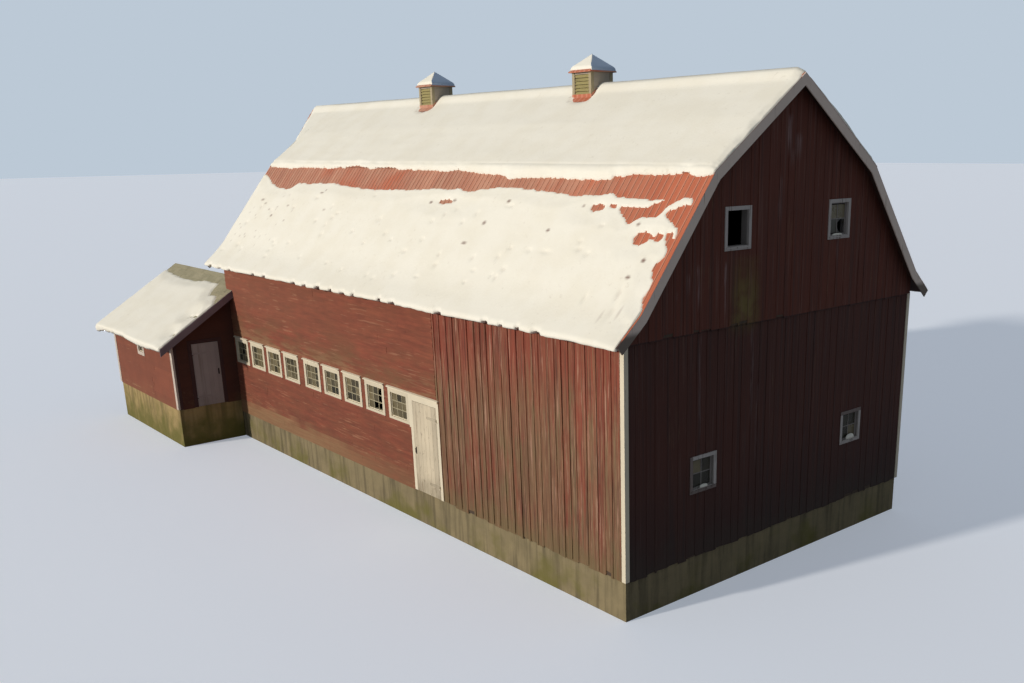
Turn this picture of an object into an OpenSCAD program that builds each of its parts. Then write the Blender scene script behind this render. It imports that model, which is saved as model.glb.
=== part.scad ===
// A gambrel-roofed red dairy barn with flared eaves, a hay hood, two ventilator cupolas
// and a low gabled annex at its back left corner. Left is the side with the door.
// Heights called "above the foundation" start at the top of the barn's foundation.

/* [Barn body] */
// Width of the barn over its side walls
barn_w = 9144; // [8600:1:10500]
// Length of the barn over its gable walls
barn_l = 18288; // [16000:1:24000]
// Height of the foundation where the ground is lowest
base_h = 840; // [400:1:1500]
// Thickness of the foundation walls
base_t = 300; // [220:1:400]
// Thickness of the floor slab that is cast with the foundation
slab_t = 150; // [80:1:300]
// Thickness of the framed and boarded walls
wall_t = 150; // [100:1:200]
// How far the wall boards stand out past the foundation
drip = 20; // [5:1:40]

/* [Roof line] */
// How far the flared eave reaches past the side wall
eave_out = 393; // [250:1:600]
// Height of the eave's edge above the foundation
eave_h = 4640; // [4500:1:5200]
// How far inside the wall's face the flare starts
flare_in = 172; // [100:1:300]
// Height of the bend where the flare starts, above the foundation
flare_h = 5130; // [5060:1:5600]
// Distance of the knuckle between the two slopes from the middle of the barn
knuckle_x = 2530; // [2200:1:2900]
// Height of the knuckle above the foundation
knuckle_h = 7530; // [7200:1:7900]
// Height of the ridge above the foundation
ridge_h = 9320; // [9000:1:10000]
// Thickness of the roof boards and their ribbed metal
roof_t = 60; // [30:1:90]
// How far the roof reaches past the front gable
front_overhang = 240; // [100:1:500]
// How far the roof reaches past the back gable
back_overhang = 450; // [100:1:600]
// How far the peak of the hay hood reaches past the back edge of the roof
hood_out = 1900; // [900:1:2200]
// Half the width of the hay hood where it leaves the roof
hood_half = 1750; // [1000:1:2100]
// Thickness of the bargeboards, along the barn
barge_t = 25; // [15:1:40]
// Depth of the bargeboards below the roof's surface
barge_d = 190; // [120:1:260]
// Thickness of the metal ridge cap
cap_t = 8; // [3:1:20]
// How far the ridge cap reaches down each slope
cap_w = 150; // [80:1:220]

/* [Timber frame] */
// Distance from one rafter frame to the next
frame_pitch = 914; // [700:1:1300]
// Thickness of rafters and joists
rafter_w = 50; // [38:1:80]
// Depth of the rafters
rafter_d = 150; // [100:1:220]
// Depth of the rafter tails at the wall
tail_d = 130; // [80:1:180]
// How far the rafter tails stop short of the eave's edge
tail_back = 45; // [20:1:120]
// Width of the ridge beam
ridge_beam_w = 80; // [50:1:120]
// Depth of the ridge beam
ridge_beam_d = 240; // [150:1:300]
// How far the ridge beam stops short of the hood's peak
ridge_beam_back = 160; // [60:1:400]
// Width of the beams under the knuckles
knuckle_beam_w = 150; // [100:1:200]
// Depth of the beams under the knuckles
knuckle_beam_d = 230; // [180:1:320]
// Height of the loft floor's top above the foundation
loft_h = 2790; // [2760:1:3400]
// Thickness of the loft floor's boards
loft_t = 50; // [25:1:80]
// Depth of the loft joists
joist_d = 240; // [180:1:260]
// Width of the girder under the middle of the joists
girder_w = 200; // [140:1:260]
// Depth of the girder
girder_d = 250; // [180:1:300]
// Number of posts under the girder
posts = 5; // [3:1:8]
// Side of the square posts
post_w = 180; // [120:1:200]

/* [Side door] */
// Distance of the side door's near jamb from the front gable's face
door_y = 6390; // [6000:1:6400]
// Width of the side doorway between its wall pieces
door_w = 1090; // [900:1:1110]
// Height of the side doorway above the foundation
door_h = 2270; // [2100:1:2320]

/* [Side windows] */
// Windows in the row beside the door, where the wall has room for them
near_windows = 5; // [2:1:5]
// Windows in the row at the back end
far_windows = 4; // [2:1:6]
// Distance of the first window's middle from the front gable's face
near_row_y = 8110; // [8060:1:9000]
// Distance of the last window's middle from the back gable's face
far_row_y = 748; // [640:1:1200]
// Distance from one window's middle to the next
window_pitch = 1160; // [1010:1:1400]
// Width of a side window's hole
side_win_w = 780; // [600:1:790]
// Height of a side window's hole
side_win_h = 650; // [450:1:680]
// Height of a side window's sill above the foundation
side_win_sill = 1660; // [1300:1:1680]

/* [Gable windows] */
// Width of a gable window's hole
gable_win_w = 650; // [450:1:750]
// Height of an upper gable window's hole
upper_win_h = 715; // [500:1:820]
// Height of a lower gable window's hole
lower_win_h = 660; // [450:1:760]
// Distance of the upper gable windows from the middle
upper_win_x = 1615; // [1500:1:1700]
// Distance of the lower gable windows from the middle
lower_win_x = 2470; // [2200:1:2900]
// Height of the upper windows' sills above the foundation
upper_win_sill = 6110; // [6000:1:6200]
// Height of the lower windows' sills above the foundation
lower_win_sill = 1410; // [1200:1:1600]
// Height of the seam between the gable's two tiers of boards, above the foundation
seam_h = 4600; // [4300:1:4630]
// Width of the boards round the gable windows
gable_trim_w = 55; // [40:1:90]
// How far the upper tier of boards stands out over the lower one
lap = 25; // [10:1:40]

/* [Hay door] */
// Width of the hay door in the back gable
hay_w = 1400; // [1000:1:1600]
// Height of the hay door
hay_h = 1850; // [1400:1:2000]
// Height of the hay door's sill above the foundation
hay_sill = 6300; // [6100:1:6400]
// Thickness of the hay door
hay_t = 45; // [30:1:60]

/* [Window and door trim] */
// Width of the boards round windows and doors
trim_w = 90; // [50:1:90]
// Thickness of the boards round windows and doors
trim_t = 25; // [15:1:35]
// Thickness of the linings in the holes
lining_t = 20; // [12:1:30]
// Width of the sash bars round the glass
sash_w = 45; // [30:1:60]
// Thickness of the sashes
sash_t = 35; // [25:1:45]
// How far the sashes sit behind the wall's face
sash_in = 40; // [25:1:50]
// Thickness of the glass
glass_t = 6; // [4:1:10]
// Width of the corner boards
corner_w = 130; // [90:1:160]
// Width of the barn's corner boards on its gables
corner_gable_w = 80; // [50:1:140]

/* [Door leaves] */
// Thickness of the door leaves
leaf_t = 45; // [35:1:55]
// Gap between a door leaf and its frame
leaf_gap = 7; // [5:1:10]
// Gap under a door leaf
leaf_foot = 10; // [6:1:15]
// Outer radius of a hinge eye
eye_r = 16; // [13:1:22]
// Radius of a hinge pin
pin_r = 8; // [6:1:10]
// Height of a hinge eye and its strap
eye_h = 50; // [35:1:70]
// Length of a hinge strap on the leaf
strap_l = 420; // [250:1:500]
// Thickness of the hinge straps and pin plates
strap_t = 6; // [4:1:8]
// Distance of the hinges from the leaf's top and bottom
hinge_in = 300; // [200:1:400]

/* [Cupolas] */
// Distance of the front cupola's middle from the front gable's face
cupola_front_y = 6014; // [4000:1:7000]
// Distance of the back cupola's middle from the front gable's face
cupola_back_y = 12864; // [11000:1:14500]
// Width of a cupola's square body
cupola_w = 660; // [520:1:800]
// Thickness of a cupola's boarded sides
cupola_t = 30; // [20:1:40]
// Height of a cupola's eave above the barn's ridge
cupola_eave = 340; // [300:1:450]
// How far a cupola's roof reaches past its body
cupola_out = 75; // [40:1:110]
// Rise of a cupola's roof from its eave to its peak
cupola_rise = 360; // [250:1:450]
// Thickness of a cupola's roof at the eave
cupola_lip = 25; // [15:1:40]
// Number of slats in a cupola's opening
slats = 6; // [4:1:7]
// Thickness of a slat
slat_t = 12; // [8:1:16]
// Width of the rails and posts round a cupola's opening
louver_rim = 80; // [60:1:110]

/* [Annex] */
// How far the annex reaches past the barn's side wall
annex_out = 1948; // [1600:1:2300]
// Distance of the annex's ridge inside the line of that side wall
annex_ridge_in = 472; // [250:1:800]
// Length of the annex behind the barn's back gable
annex_l = 5450; // [4000:1:7000]
// Height of the annex's concrete base above the barn's foundation
annex_step = 360; // [200:1:500]
// Height of the annex's ridge above the barn's foundation
annex_ridge_h = 4180; // [4050:1:4300]
// Pitch of the annex's roof in degrees
annex_pitch = 32.9; // [30:0.1:34]
// How far the annex's eave reaches past its wall
annex_eave_out = 420; // [200:1:500]
// How far the annex's roof reaches past its front and back walls
annex_overhang = 290; // [150:1:400]
// Distance of the annex door's outer jamb from the annex's outer corner
annex_door_x = 570; // [560:1:640]
// Width of the annex doorway
annex_door_w = 860; // [760:1:900]
// Height of the annex doorway above its base
annex_door_h = 1990; // [1900:1:2020]
// Distance of the annex's small window from its front wall's face
annex_win_y = 2900; // [1500:1:3900]
// Width of the annex's small window
annex_win_w = 460; // [300:1:600]
// Height of the annex's small window
annex_win_h = 360; // [250:1:400]
// Height of the annex window's sill above its base
annex_win_sill = 1400; // [1200:1:1420]

/* [Hidden] */

// Main lines of the barn, before it is moved to its reference point
half_w = barn_w / 2;
half_l = barn_l / 2;
inner_x = half_w - wall_t;
inner_y = half_l - wall_t;
base_face_x = half_w - drip;
base_face_y = half_l - drip;
roof_front = -half_l - front_overhang;
roof_back = half_l + back_overhang;
hood_peak = roof_back + hood_out;
plate = base_h;
seam_z = base_h + seam_h;
ridge_z = base_h + ridge_h;
siding_y = -half_l + door_y;
door_end_y = siding_y + door_w;
loft_top = base_h + loft_h;
joist_top = loft_top - loft_t;
girder_top = joist_top - joist_d;

// Main lines of the annex
annex_outer = -half_w - annex_out;
annex_ridge_x = -half_w + annex_ridge_in;
annex_half = annex_ridge_x - annex_outer;
annex_inner = annex_ridge_x + annex_half;
annex_front = half_l - wall_t;
annex_back = half_l + annex_l;
annex_floor = base_h + annex_step;
annex_ridge_z = base_h + annex_ridge_h;
annex_roof_front = annex_front - annex_overhang;
annex_roof_back = annex_back + annex_overhang;
annex_eave_x = annex_half + annex_eave_out;
annex_clear = 10;

// How far a cutting shape reaches past what it cuts
past = 1;

// The reference point is the middle of the whole footprint, at the lowest ground
low_x = annex_ridge_x - annex_eave_x;
high_x = half_w + eave_out;
low_y = roof_front - barge_t;
high_y = annex_roof_back + barge_t;
reference = [(low_x + high_x) / 2, (low_y + high_y) / 2, 0];

// Where the rafter frames stand along the barn
frame_y = [for (y = -half_l + frame_pitch; y < half_l - frame_pitch / 2; y = y + frame_pitch) y];

// Middles of the side windows, along the barn: the far row ends at the back gable,
// and the near row has as many windows as fit before it
near_first_y = -half_l + near_row_y;
far_first_y = half_l - far_row_y - (far_windows - 1) * window_pitch;
near_room = floor((far_first_y - near_first_y) / window_pitch);
window_y = concat(
    [for (i = [0 : min(near_windows, near_room) - 1]) near_first_y + i * window_pitch],
    [for (i = [0 : far_windows - 1]) far_first_y + i * window_pitch]
);

// The roof's surface on the right, from the eave's edge to the ridge
roof_surface = [
    [half_w + eave_out, base_h + eave_h],
    [half_w - flare_in, base_h + flare_h],
    [knuckle_x, base_h + knuckle_h],
    [0, ridge_z]
];

function into_roof(a, b) = let(d = (b - a) / norm(b - a)) [-d[1], d[0]];
function mitred(a, b, c, depth) =
    let(n1 = into_roof(a, b), n2 = into_roof(b, c)) b + depth * (n1 + n2) / (1 + n1 * n2);
function at_ridge(a, b, depth) =
    let(d = (b - a) / norm(b - a)) [0, b[1] - depth / abs(d[0])];

// The roof's surface moved square into the roof by a depth
function roof_line(depth) =
    let(s = roof_surface)
    [
        s[0] + depth * into_roof(s[0], s[1]),
        mitred(s[0], s[1], s[2], depth),
        mitred(s[1], s[2], s[3], depth),
        at_ridge(s[2], s[3], depth)
    ];
function backwards(list) = [for (i = [len(list) - 1 : -1 : 0]) list[i]];
function part_of(list, first, last) = [for (i = [first : last]) list[i]];
function mirrored(list) = [for (p = list) [-p[0], p[1]]];
function height_on(a, b, x) = a[1] + (x - a[0]) * (b[1] - a[1]) / (b[0] - a[0]);

// A layer of the roof between two depths, from one corner of the line to another
function layer(top, bottom, first, last) =
    concat(part_of(roof_line(top), first, last), backwards(part_of(roof_line(bottom), first, last)));

module at_reference() {
    translate(-reference) children();
}

module block(low, high) {
    translate(low) cube(high - low);
}

// A flat section drawn in x and z, pulled along the barn
module along(y0, y1) {
    translate([0, y1, 0]) rotate([90, 0, 0]) linear_extrude(y1 - y0) children();
}

module left_side() {
    mirror([1, 0, 0]) children();
}

// Everything that lies under the roof at a depth
module under_roof(depth, y0, y1) {
    line = roof_line(depth);
    foot = [[line[0][0], 0]];
    along(y0, y1) polygon(concat(foot, line, backwards(concat(mirrored(foot), mirrored(line)))));
}

module boarded_wall(x0, x1, y0, y1, z0) {
    intersection() {
        block([x0, y0, z0], [x1, y1, ridge_z]);
        under_roof(roof_t, y0 - past, y1 + past);
    }
}

// The foundation's four walls and the slab that is cast in them
module foundation() {
    color("darkkhaki") at_reference() difference() {
        block([-base_face_x, -base_face_y, 0], [base_face_x, base_face_y, base_h]);
        block(
            [-base_face_x + base_t, -base_face_y + base_t, -past],
            [base_face_x - base_t, base_face_y - base_t, base_h - slab_t]
        );
    }
}

// Left long wall: weathered vertical boards, then lap siding over and past the door
module left_wall_boarded() {
    color("rosybrown") at_reference() boarded_wall(-half_w, -inner_x, -inner_y, siding_y, plate);
}

module left_wall_over_door() {
    color("firebrick") at_reference()
        boarded_wall(-half_w, -inner_x, siding_y, door_end_y, plate + door_h);
}

module side_window_holes(x0, x1) {
    sill = base_h + side_win_sill;
    for (y = window_y)
        block([x0 - past, y - side_win_w / 2, sill], [x1 + past, y + side_win_w / 2, sill + side_win_h]);
}

module left_wall_windowed() {
    color("firebrick") at_reference() difference() {
        boarded_wall(-half_w, -inner_x, door_end_y, inner_y, plate);
        side_window_holes(-half_w, -inner_x);
    }
}

module right_wall_boarded() {
    color("rosybrown") at_reference() boarded_wall(inner_x, half_w, -inner_y, siding_y, plate);
}

module right_wall_windowed() {
    color("firebrick") at_reference() difference() {
        boarded_wall(inner_x, half_w, siding_y, inner_y, plate);
        side_window_holes(inner_x, half_w);
    }
}

module gable_hole(x, sill, width, height) {
    depth = half_l + wall_t + lap;
    block([x - width / 2, -depth, base_h + sill], [x + width / 2, depth, base_h + sill + height]);
}

// Gables: a lower tier up to the eaves, and an upper tier that laps over it
module front_gable_lower() {
    color("darkred") at_reference() difference() {
        block([-half_w, -half_l, plate], [half_w, -inner_y, seam_z]);
        for (x = [-lower_win_x, lower_win_x])
            gable_hole(x, lower_win_sill, gable_win_w, lower_win_h);
    }
}

module upper_tier(y0, y1) {
    intersection() {
        block([-half_w, y0, seam_z], [half_w, y1, ridge_z]);
        under_roof(roof_t, y0 - past, y1 + past);
    }
}

module front_gable_upper() {
    color("darkred") at_reference() difference() {
        upper_tier(-half_l - lap, -inner_y);
        for (x = [-upper_win_x, upper_win_x])
            gable_hole(x, upper_win_sill, gable_win_w, upper_win_h);
    }
}

module back_gable_lower() {
    color("darkred") at_reference() difference() {
        block([-half_w, inner_y, plate], [half_w, half_l, seam_z]);
        gable_hole(lower_win_x, lower_win_sill, gable_win_w, lower_win_h);
    }
}

module back_gable_upper() {
    color("darkred") at_reference() difference() {
        upper_tier(inner_y, half_l + lap);
        for (x = [-upper_win_x, upper_win_x])
            gable_hole(x, upper_win_sill, gable_win_w, upper_win_h);
        gable_hole(0, hay_sill, hay_w, hay_h);
        ridge_beam_body();
    }
}

// The loft floor on its joists, and the girder and posts under their middle
module loft_floor() {
    color("burlywood") at_reference()
        block([-inner_x, -inner_y, joist_top], [inner_x, inner_y, loft_top]);
}

module loft_joists() {
    color("burlywood") at_reference() for (y = frame_y)
        block([-inner_x, y - rafter_w / 2, girder_top], [inner_x, y + rafter_w / 2, joist_top]);
}

module loft_posts() {
    spacing = 2 * inner_y / (posts + 1);
    under = girder_top - girder_d;
    color("tan") at_reference() {
        block([-girder_w / 2, -inner_y, under], [girder_w / 2, inner_y, girder_top]);
        for (i = [1 : posts])
            translate([-post_w / 2, -inner_y + i * spacing - post_w / 2, base_h])
                cube([post_w, post_w, under - base_h]);
    }
}

// Gambrel frames: lower rafters from the side wall to the knuckle, upper ones to the ridge
module rafters(first, last, x0, x1) {
    top = roof_line(roof_t)[last][1];
    intersection() {
        for (y = frame_y)
            along(y - rafter_w / 2, y + rafter_w / 2)
                polygon(layer(roof_t, roof_t + rafter_d, first, last));
        block([x0, -half_l, loft_top], [x1, half_l, top + past]);
    }
}

module lower_rafters_right() {
    color("burlywood") at_reference() rafters(0, 2, 0, inner_x);
}

module lower_rafters_left() {
    color("burlywood") at_reference() left_side() rafters(0, 2, 0, inner_x);
}

module upper_rafters_right() {
    color("burlywood") at_reference() rafters(2, 3, ridge_beam_w / 2, inner_x);
}

module upper_rafters_left() {
    color("burlywood") at_reference() left_side() rafters(2, 3, ridge_beam_w / 2, inner_x);
}

// Short tails on the wall's face that carry the flared eave, and how deep their tips are
// as a share of their depth at the wall
tail_taper = 0.55;
module tails_right() {
    upper = roof_line(roof_t);
    tip_x = upper[0][0] - tail_back;
    wall_z = height_on(upper[0], upper[1], half_w);
    tip_z = height_on(upper[0], upper[1], tip_x);
    section = [
        [half_w, wall_z],
        [half_w, wall_z - tail_d],
        [tip_x, tip_z - tail_d * tail_taper],
        [tip_x, tip_z]
    ];
    for (y = frame_y)
        along(y - rafter_w / 2, y + rafter_w / 2) polygon(section);
}

module rafter_tails() {
    color("maroon") at_reference() {
        tails_right();
        left_side() tails_right();
    }
}

module knuckle_beam_right() {
    under = roof_line(roof_t + rafter_d)[2];
    intersection() {
        block(
            [under[0] - knuckle_beam_w / 2, -inner_y, under[1] - knuckle_beam_d],
            [under[0] + knuckle_beam_w / 2, inner_y, under[1] + rafter_d]
        );
        under_roof(roof_t + rafter_d, -half_l, half_l);
    }
}

module knuckle_beams() {
    color("tan") at_reference() {
        knuckle_beam_right();
        left_side() knuckle_beam_right();
    }
}

// The ridge beam runs on through the back gable and carries the hay hood
module ridge_beam_body() {
    under = roof_line(roof_t)[3][1];
    intersection() {
        block(
            [-ridge_beam_w / 2, -inner_y, under - ridge_beam_d],
            [ridge_beam_w / 2, hood_peak - ridge_beam_back, ridge_z]
        );
        under_roof(roof_t, -half_l, hood_peak);
    }
}

module ridge_beam() {
    color("tan") at_reference() ridge_beam_body();
}

// Roof slopes: the lower ones carry the flare in one bent layer
module roof_lower() {
    along(roof_front, roof_back) polygon(layer(0, roof_t, 0, 2));
}

module roof_upper() {
    along(roof_front, roof_back) polygon(layer(0, roof_t, 2, 3));
}

module roof_lower_right() {
    color("chocolate") at_reference() roof_lower();
}

module roof_lower_left() {
    color("chocolate") at_reference() left_side() roof_lower();
}

module roof_upper_right() {
    color("chocolate") at_reference() roof_upper();
}

module roof_upper_left() {
    color("chocolate") at_reference() left_side() roof_upper();
}

// The hay hood carries both upper slopes out to a point over the hay door
module hood_layer(bottom) {
    section = layer(0, bottom, 2, 3);
    along(roof_back, hood_peak + barge_t) polygon(section);
    left_side() along(roof_back, hood_peak + barge_t) polygon(section);
}

module hay_hood() {
    color("chocolate") at_reference() intersection() {
        hood_layer(roof_t);
        linear_extrude(ridge_z + past)
            polygon([[-hood_half, roof_back], [hood_half, roof_back], [0, hood_peak]]);
    }
}

module cupola_spots() {
    for (y = [cupola_front_y, cupola_back_y])
        translate([0, -half_l + y, 0]) children();
}

// The metal cap over the ridge, which stops at the cupolas
module ridge_cap() {
    top = roof_line(-cap_t);
    surface = roof_line(0);
    run = cap_w * (surface[2][0] - surface[3][0]) / norm(surface[2] - surface[3]);
    section = [
        surface[3],
        [run, height_on(surface[2], surface[3], run)],
        [run, height_on(top[2], top[3], run)],
        top[3]
    ];
    color("chocolate") at_reference() difference() {
        union() {
            along(roof_front, hood_peak - cap_w) polygon(section);
            left_side() along(roof_front, hood_peak - cap_w) polygon(section);
        }
        cupola_spots()
            block([-cupola_w / 2, -cupola_w / 2, 0], [cupola_w / 2, cupola_w / 2, 2 * ridge_z]);
    }
}

// Bargeboards: a board along each roof edge of both gables, and along the hood's edges
module barge_section() {
    polygon(layer(0, barge_d, 0, 3));
}

module back_barge() {
    difference() {
        along(roof_back, roof_back + barge_t) barge_section();
        block([-past, roof_back - past, 0], [hood_half, roof_back + barge_t + past, 2 * ridge_z]);
    }
    intersection() {
        along(roof_back, hood_peak + barge_t) polygon(layer(0, barge_d, 2, 3));
        linear_extrude(2 * ridge_z) polygon([
            [hood_half, roof_back],
            [0, hood_peak],
            [0, hood_peak + barge_t],
            [hood_half, roof_back + barge_t]
        ]);
    }
}

module bargeboards() {
    color("gainsboro") at_reference() {
        along(roof_front - barge_t, roof_front) barge_section();
        left_side() along(roof_front - barge_t, roof_front) barge_section();
        back_barge();
        left_side() back_barge();
    }
}

// White boards on the two faces of three corners of the barn
module corner_board(x_out, y_out, y_in, width) {
    difference() {
        block([half_w - width, min(y_out, y_in), plate], [x_out, max(y_out, y_in), seam_z]);
        block([-half_w, -half_l, 0], [half_w, half_l, 2 * ridge_z]);
    }
}

module corner_boards() {
    edge = half_l + trim_t;
    color("white") at_reference() {
        corner_board(half_w + trim_t, -edge, -half_l + corner_w, corner_gable_w);
        left_side() corner_board(half_w + trim_t, -edge, -half_l + corner_w, corner_gable_w);
        corner_board(half_w + trim_t, edge, half_l - corner_w, corner_gable_w);
    }
}

// A ring of boards in the x-z plane, round a hole whose sill is at zero
module ring(width, height, grow, hole, y0, y1) {
    difference() {
        block([-width / 2 - grow, y0, -grow], [width / 2 + grow, y1, height + grow]);
        block([-width / 2 + hole, y0 - past, hole], [width / 2 - hole, y1 + past, height - hole]);
    }
}

// A window's outer boards, lining and sash, with the wall's face at y = 0
module window_frame(width, height, depth, with_sash, board_w) {
    ring(width, height, board_w, lining_t, -trim_t, 0);
    ring(width, height, 0, lining_t, 0, depth);
    if (with_sash)
        ring(width - 2 * lining_t, height, 0, sash_w, sash_in, sash_in + sash_t);
}

module window_glass(width, height) {
    rim = lining_t + sash_w;
    y = sash_in + (sash_t - glass_t) / 2;
    block([-width / 2 + rim, y, rim], [width / 2 - rim, y + glass_t, height - rim]);
}

// Places a window or door that faces the front on a face that looks to the left or right
module on_left(y, sill) {
    translate([-half_w, y, base_h + sill]) rotate([0, 0, -90]) children();
}

module on_right(y, sill) {
    translate([half_w, y, base_h + sill]) rotate([0, 0, 90]) children();
}

module on_annex_side() {
    translate([annex_outer, annex_front + annex_win_y, annex_floor + annex_win_sill])
        rotate([0, 0, -90]) children();
}

module side_window_frames() {
    color("white") at_reference() for (y = window_y) {
        on_left(y, side_win_sill) window_frame(side_win_w, side_win_h, wall_t, true, trim_w);
        on_right(y, side_win_sill) window_frame(side_win_w, side_win_h, wall_t, true, trim_w);
    }
}

module side_window_glass() {
    color("lightsteelblue") at_reference() {
        for (y = window_y) {
            on_left(y, side_win_sill) window_glass(side_win_w, side_win_h);
            on_right(y, side_win_sill) window_glass(side_win_w, side_win_h);
        }
        on_annex_side() window_glass(annex_win_w, annex_win_h);
    }
}

module on_front(x, sill, out) {
    translate([x, -half_l - out, base_h + sill]) children();
}

module on_back(x, sill, out) {
    translate([x, half_l + out, base_h + sill]) rotate([0, 0, 180]) children();
}

module gable_window_frames() {
    color("gainsboro") at_reference() {
        on_front(-upper_win_x, upper_win_sill, lap)
            window_frame(gable_win_w, upper_win_h, wall_t + lap, false, gable_trim_w);
        on_front(upper_win_x, upper_win_sill, lap)
            window_frame(gable_win_w, upper_win_h, wall_t + lap, true, gable_trim_w);
        for (x = [-lower_win_x, lower_win_x])
            on_front(x, lower_win_sill, 0)
                window_frame(gable_win_w, lower_win_h, wall_t, true, gable_trim_w);
        for (x = [-upper_win_x, upper_win_x])
            on_back(x, upper_win_sill, lap)
                window_frame(gable_win_w, upper_win_h, wall_t + lap, true, gable_trim_w);
        on_back(lower_win_x, lower_win_sill, 0)
            window_frame(gable_win_w, lower_win_h, wall_t, true, gable_trim_w);
    }
}

module gable_window_glass() {
    color("lightsteelblue") at_reference() {
        on_front(upper_win_x, upper_win_sill, lap) window_glass(gable_win_w, upper_win_h);
        for (x = [-lower_win_x, lower_win_x])
            on_front(x, lower_win_sill, 0) window_glass(gable_win_w, lower_win_h);
        for (x = [-upper_win_x, upper_win_x])
            on_back(x, upper_win_sill, lap) window_glass(gable_win_w, upper_win_h);
        on_back(lower_win_x, lower_win_sill, 0) window_glass(gable_win_w, lower_win_h);
    }
}

// The closed hay door under the hood, with its trim boards
module hay_door() {
    color("darkred") at_reference() on_back(0, hay_sill, lap) {
        block([-hay_w / 2, 0, 0], [hay_w / 2, hay_t, hay_h]);
        ring(hay_w, hay_h, trim_w, lining_t, -trim_t, 0);
        block([-hay_w / 2, -trim_t, 0], [hay_w / 2, 0, trim_w]);
        block([-hay_w / 2, -trim_t, hay_h - trim_w], [hay_w / 2, 0, hay_h]);
    }
}

// A doorway's boards and lining on three sides, and the two pins that its leaf hangs on.
// The leaf hangs on its low-x edge, and its face is level with the outer boards.
function leaf_width(width) = width - 2 * lining_t - 2 * leaf_gap;
function leaf_height(height) = height - lining_t - leaf_gap - leaf_foot;
function hinge_x(width) = -leaf_width(width) / 2;
hinge_y = -trim_t - eye_r;
eye_seat = 0.3;
function hinge_heights(height) =
    [leaf_foot + hinge_in, leaf_foot + leaf_height(height) - hinge_in];

module door_frame(width, height, depth) {
    jamb = width / 2;
    difference() {
        block([-jamb - trim_w, -trim_t, 0], [jamb + trim_w, depth, height + trim_w]);
        block([-jamb - trim_w - past, 0, -past], [-jamb, depth + past, height + trim_w + past]);
        block([jamb, 0, -past], [jamb + trim_w + past, depth + past, height + trim_w + past]);
        block([-jamb - past, 0, height], [jamb + past, depth + past, height + trim_w + past]);
        block([-jamb + lining_t, -trim_t - past, -past], [jamb - lining_t, depth + past, height - lining_t]);
    }
    for (z = hinge_heights(height))
        translate([hinge_x(width), hinge_y, z - eye_h / 2]) hinge_pin();
}

module hinge_pin() {
    arm = eye_h / 2;
    plate_y = -trim_t - hinge_y;
    plate_x = -leaf_gap - trim_w / 2;
    cylinder(h = eye_h, r = pin_r, $fn = 32);
    translate([0, 0, -arm]) cylinder(h = arm - eye_seat, r = eye_r, $fn = 32);
    block([plate_x, plate_y - strap_t, -arm], [0, plate_y, -eye_seat]);
}

module door_leaf(width, height) {
    leaf_w = leaf_width(width);
    leaf_h = leaf_height(height);
    difference() {
        union() {
            block([-leaf_w / 2, -trim_t, leaf_foot], [leaf_w / 2, leaf_t - trim_t, leaf_foot + leaf_h]);
            for (z = hinge_heights(height))
                translate([hinge_x(width), hinge_y, z - eye_h / 2]) {
                    cylinder(h = eye_h, r = eye_r, $fn = 32);
                    block([0, eye_r - strap_t, 0], [strap_l, eye_r, eye_h]);
                }
        }
        for (z = hinge_heights(height))
            translate([hinge_x(width), hinge_y, z - eye_h / 2 - past])
                cylinder(h = eye_h + 2 * past, r = pin_r + eye_seat, $fn = 32);
    }
}

side_door_mid = siding_y + door_w / 2;

module side_door_frame() {
    color("white") at_reference() on_left(side_door_mid, 0) mirror([1, 0, 0])
        door_frame(door_w, door_h, wall_t);
}

module side_door() {
    color("whitesmoke") at_reference() on_left(side_door_mid, 0) mirror([1, 0, 0])
        door_leaf(door_w, door_h);
}

// Cupolas: square boarded ventilators that straddle the ridge, with slats on two faces
cupola_top = ridge_z + cupola_eave;
louver_low = height_on(roof_surface[2], roof_surface[3], cupola_w / 2) + louver_rim;
louver_high = cupola_top - louver_rim / 2;
louver_half = cupola_w / 2 - louver_rim;

module cupola_bodies() {
    half = cupola_w / 2;
    inside = half - cupola_t;
    color("lightgray") at_reference() difference() {
        cupola_spots() difference() {
            block([-half, -half, ridge_z - half], [half, half, cupola_top]);
            block([-inside, -inside, 0], [inside, inside, cupola_top - cupola_t]);
            block([-half - past, -louver_half, louver_low], [half + past, louver_half, louver_high]);
        }
        under_roof(0, -half_l, half_l);
    }
}

// The slats' fall, as a share of the way from one slat to the next, and the gap under them
slat_fall = 0.75;
slat_gap = 1;
module slat_row() {
    step = (louver_high - louver_low) / slats;
    fall = step * slat_fall;
    for (i = [0 : slats - 1])
        translate([0, 0, louver_low + i * step])
            along(-louver_half, louver_half) polygon([
                [cupola_w / 2, slat_gap],
                [cupola_w / 2, slat_gap + slat_t],
                [cupola_w / 2 - cupola_t, fall + slat_t],
                [cupola_w / 2 - cupola_t, fall]
            ]);
}

module cupola_louvers() {
    color("darkseagreen") at_reference() cupola_spots() {
        slat_row();
        left_side() slat_row();
    }
}

module cupola_roof_section() {
    reach = cupola_w / 2 + cupola_out;
    polygon([
        [-reach, 0],
        [reach, 0],
        [reach, cupola_lip],
        [0, cupola_rise],
        [-reach, cupola_lip]
    ]);
}

module cupola_roofs() {
    reach = cupola_w / 2 + cupola_out;
    color("silver") at_reference() cupola_spots() translate([0, 0, cupola_top]) intersection() {
        along(-reach, reach) cupola_roof_section();
        rotate([0, 0, 90]) along(-reach, reach) cupola_roof_section();
    }
}

// The annex stands on a solid concrete base that steps round the barn's back corner
module annex_base() {
    color("darkkhaki") at_reference() linear_extrude(annex_floor) polygon([
        [annex_outer + drip, annex_front + drip],
        [-half_w, annex_front + drip],
        [-half_w, half_l],
        [annex_inner - drip, half_l],
        [annex_inner - drip, annex_back - drip],
        [annex_outer + drip, annex_back - drip]
    ]);
}

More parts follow.
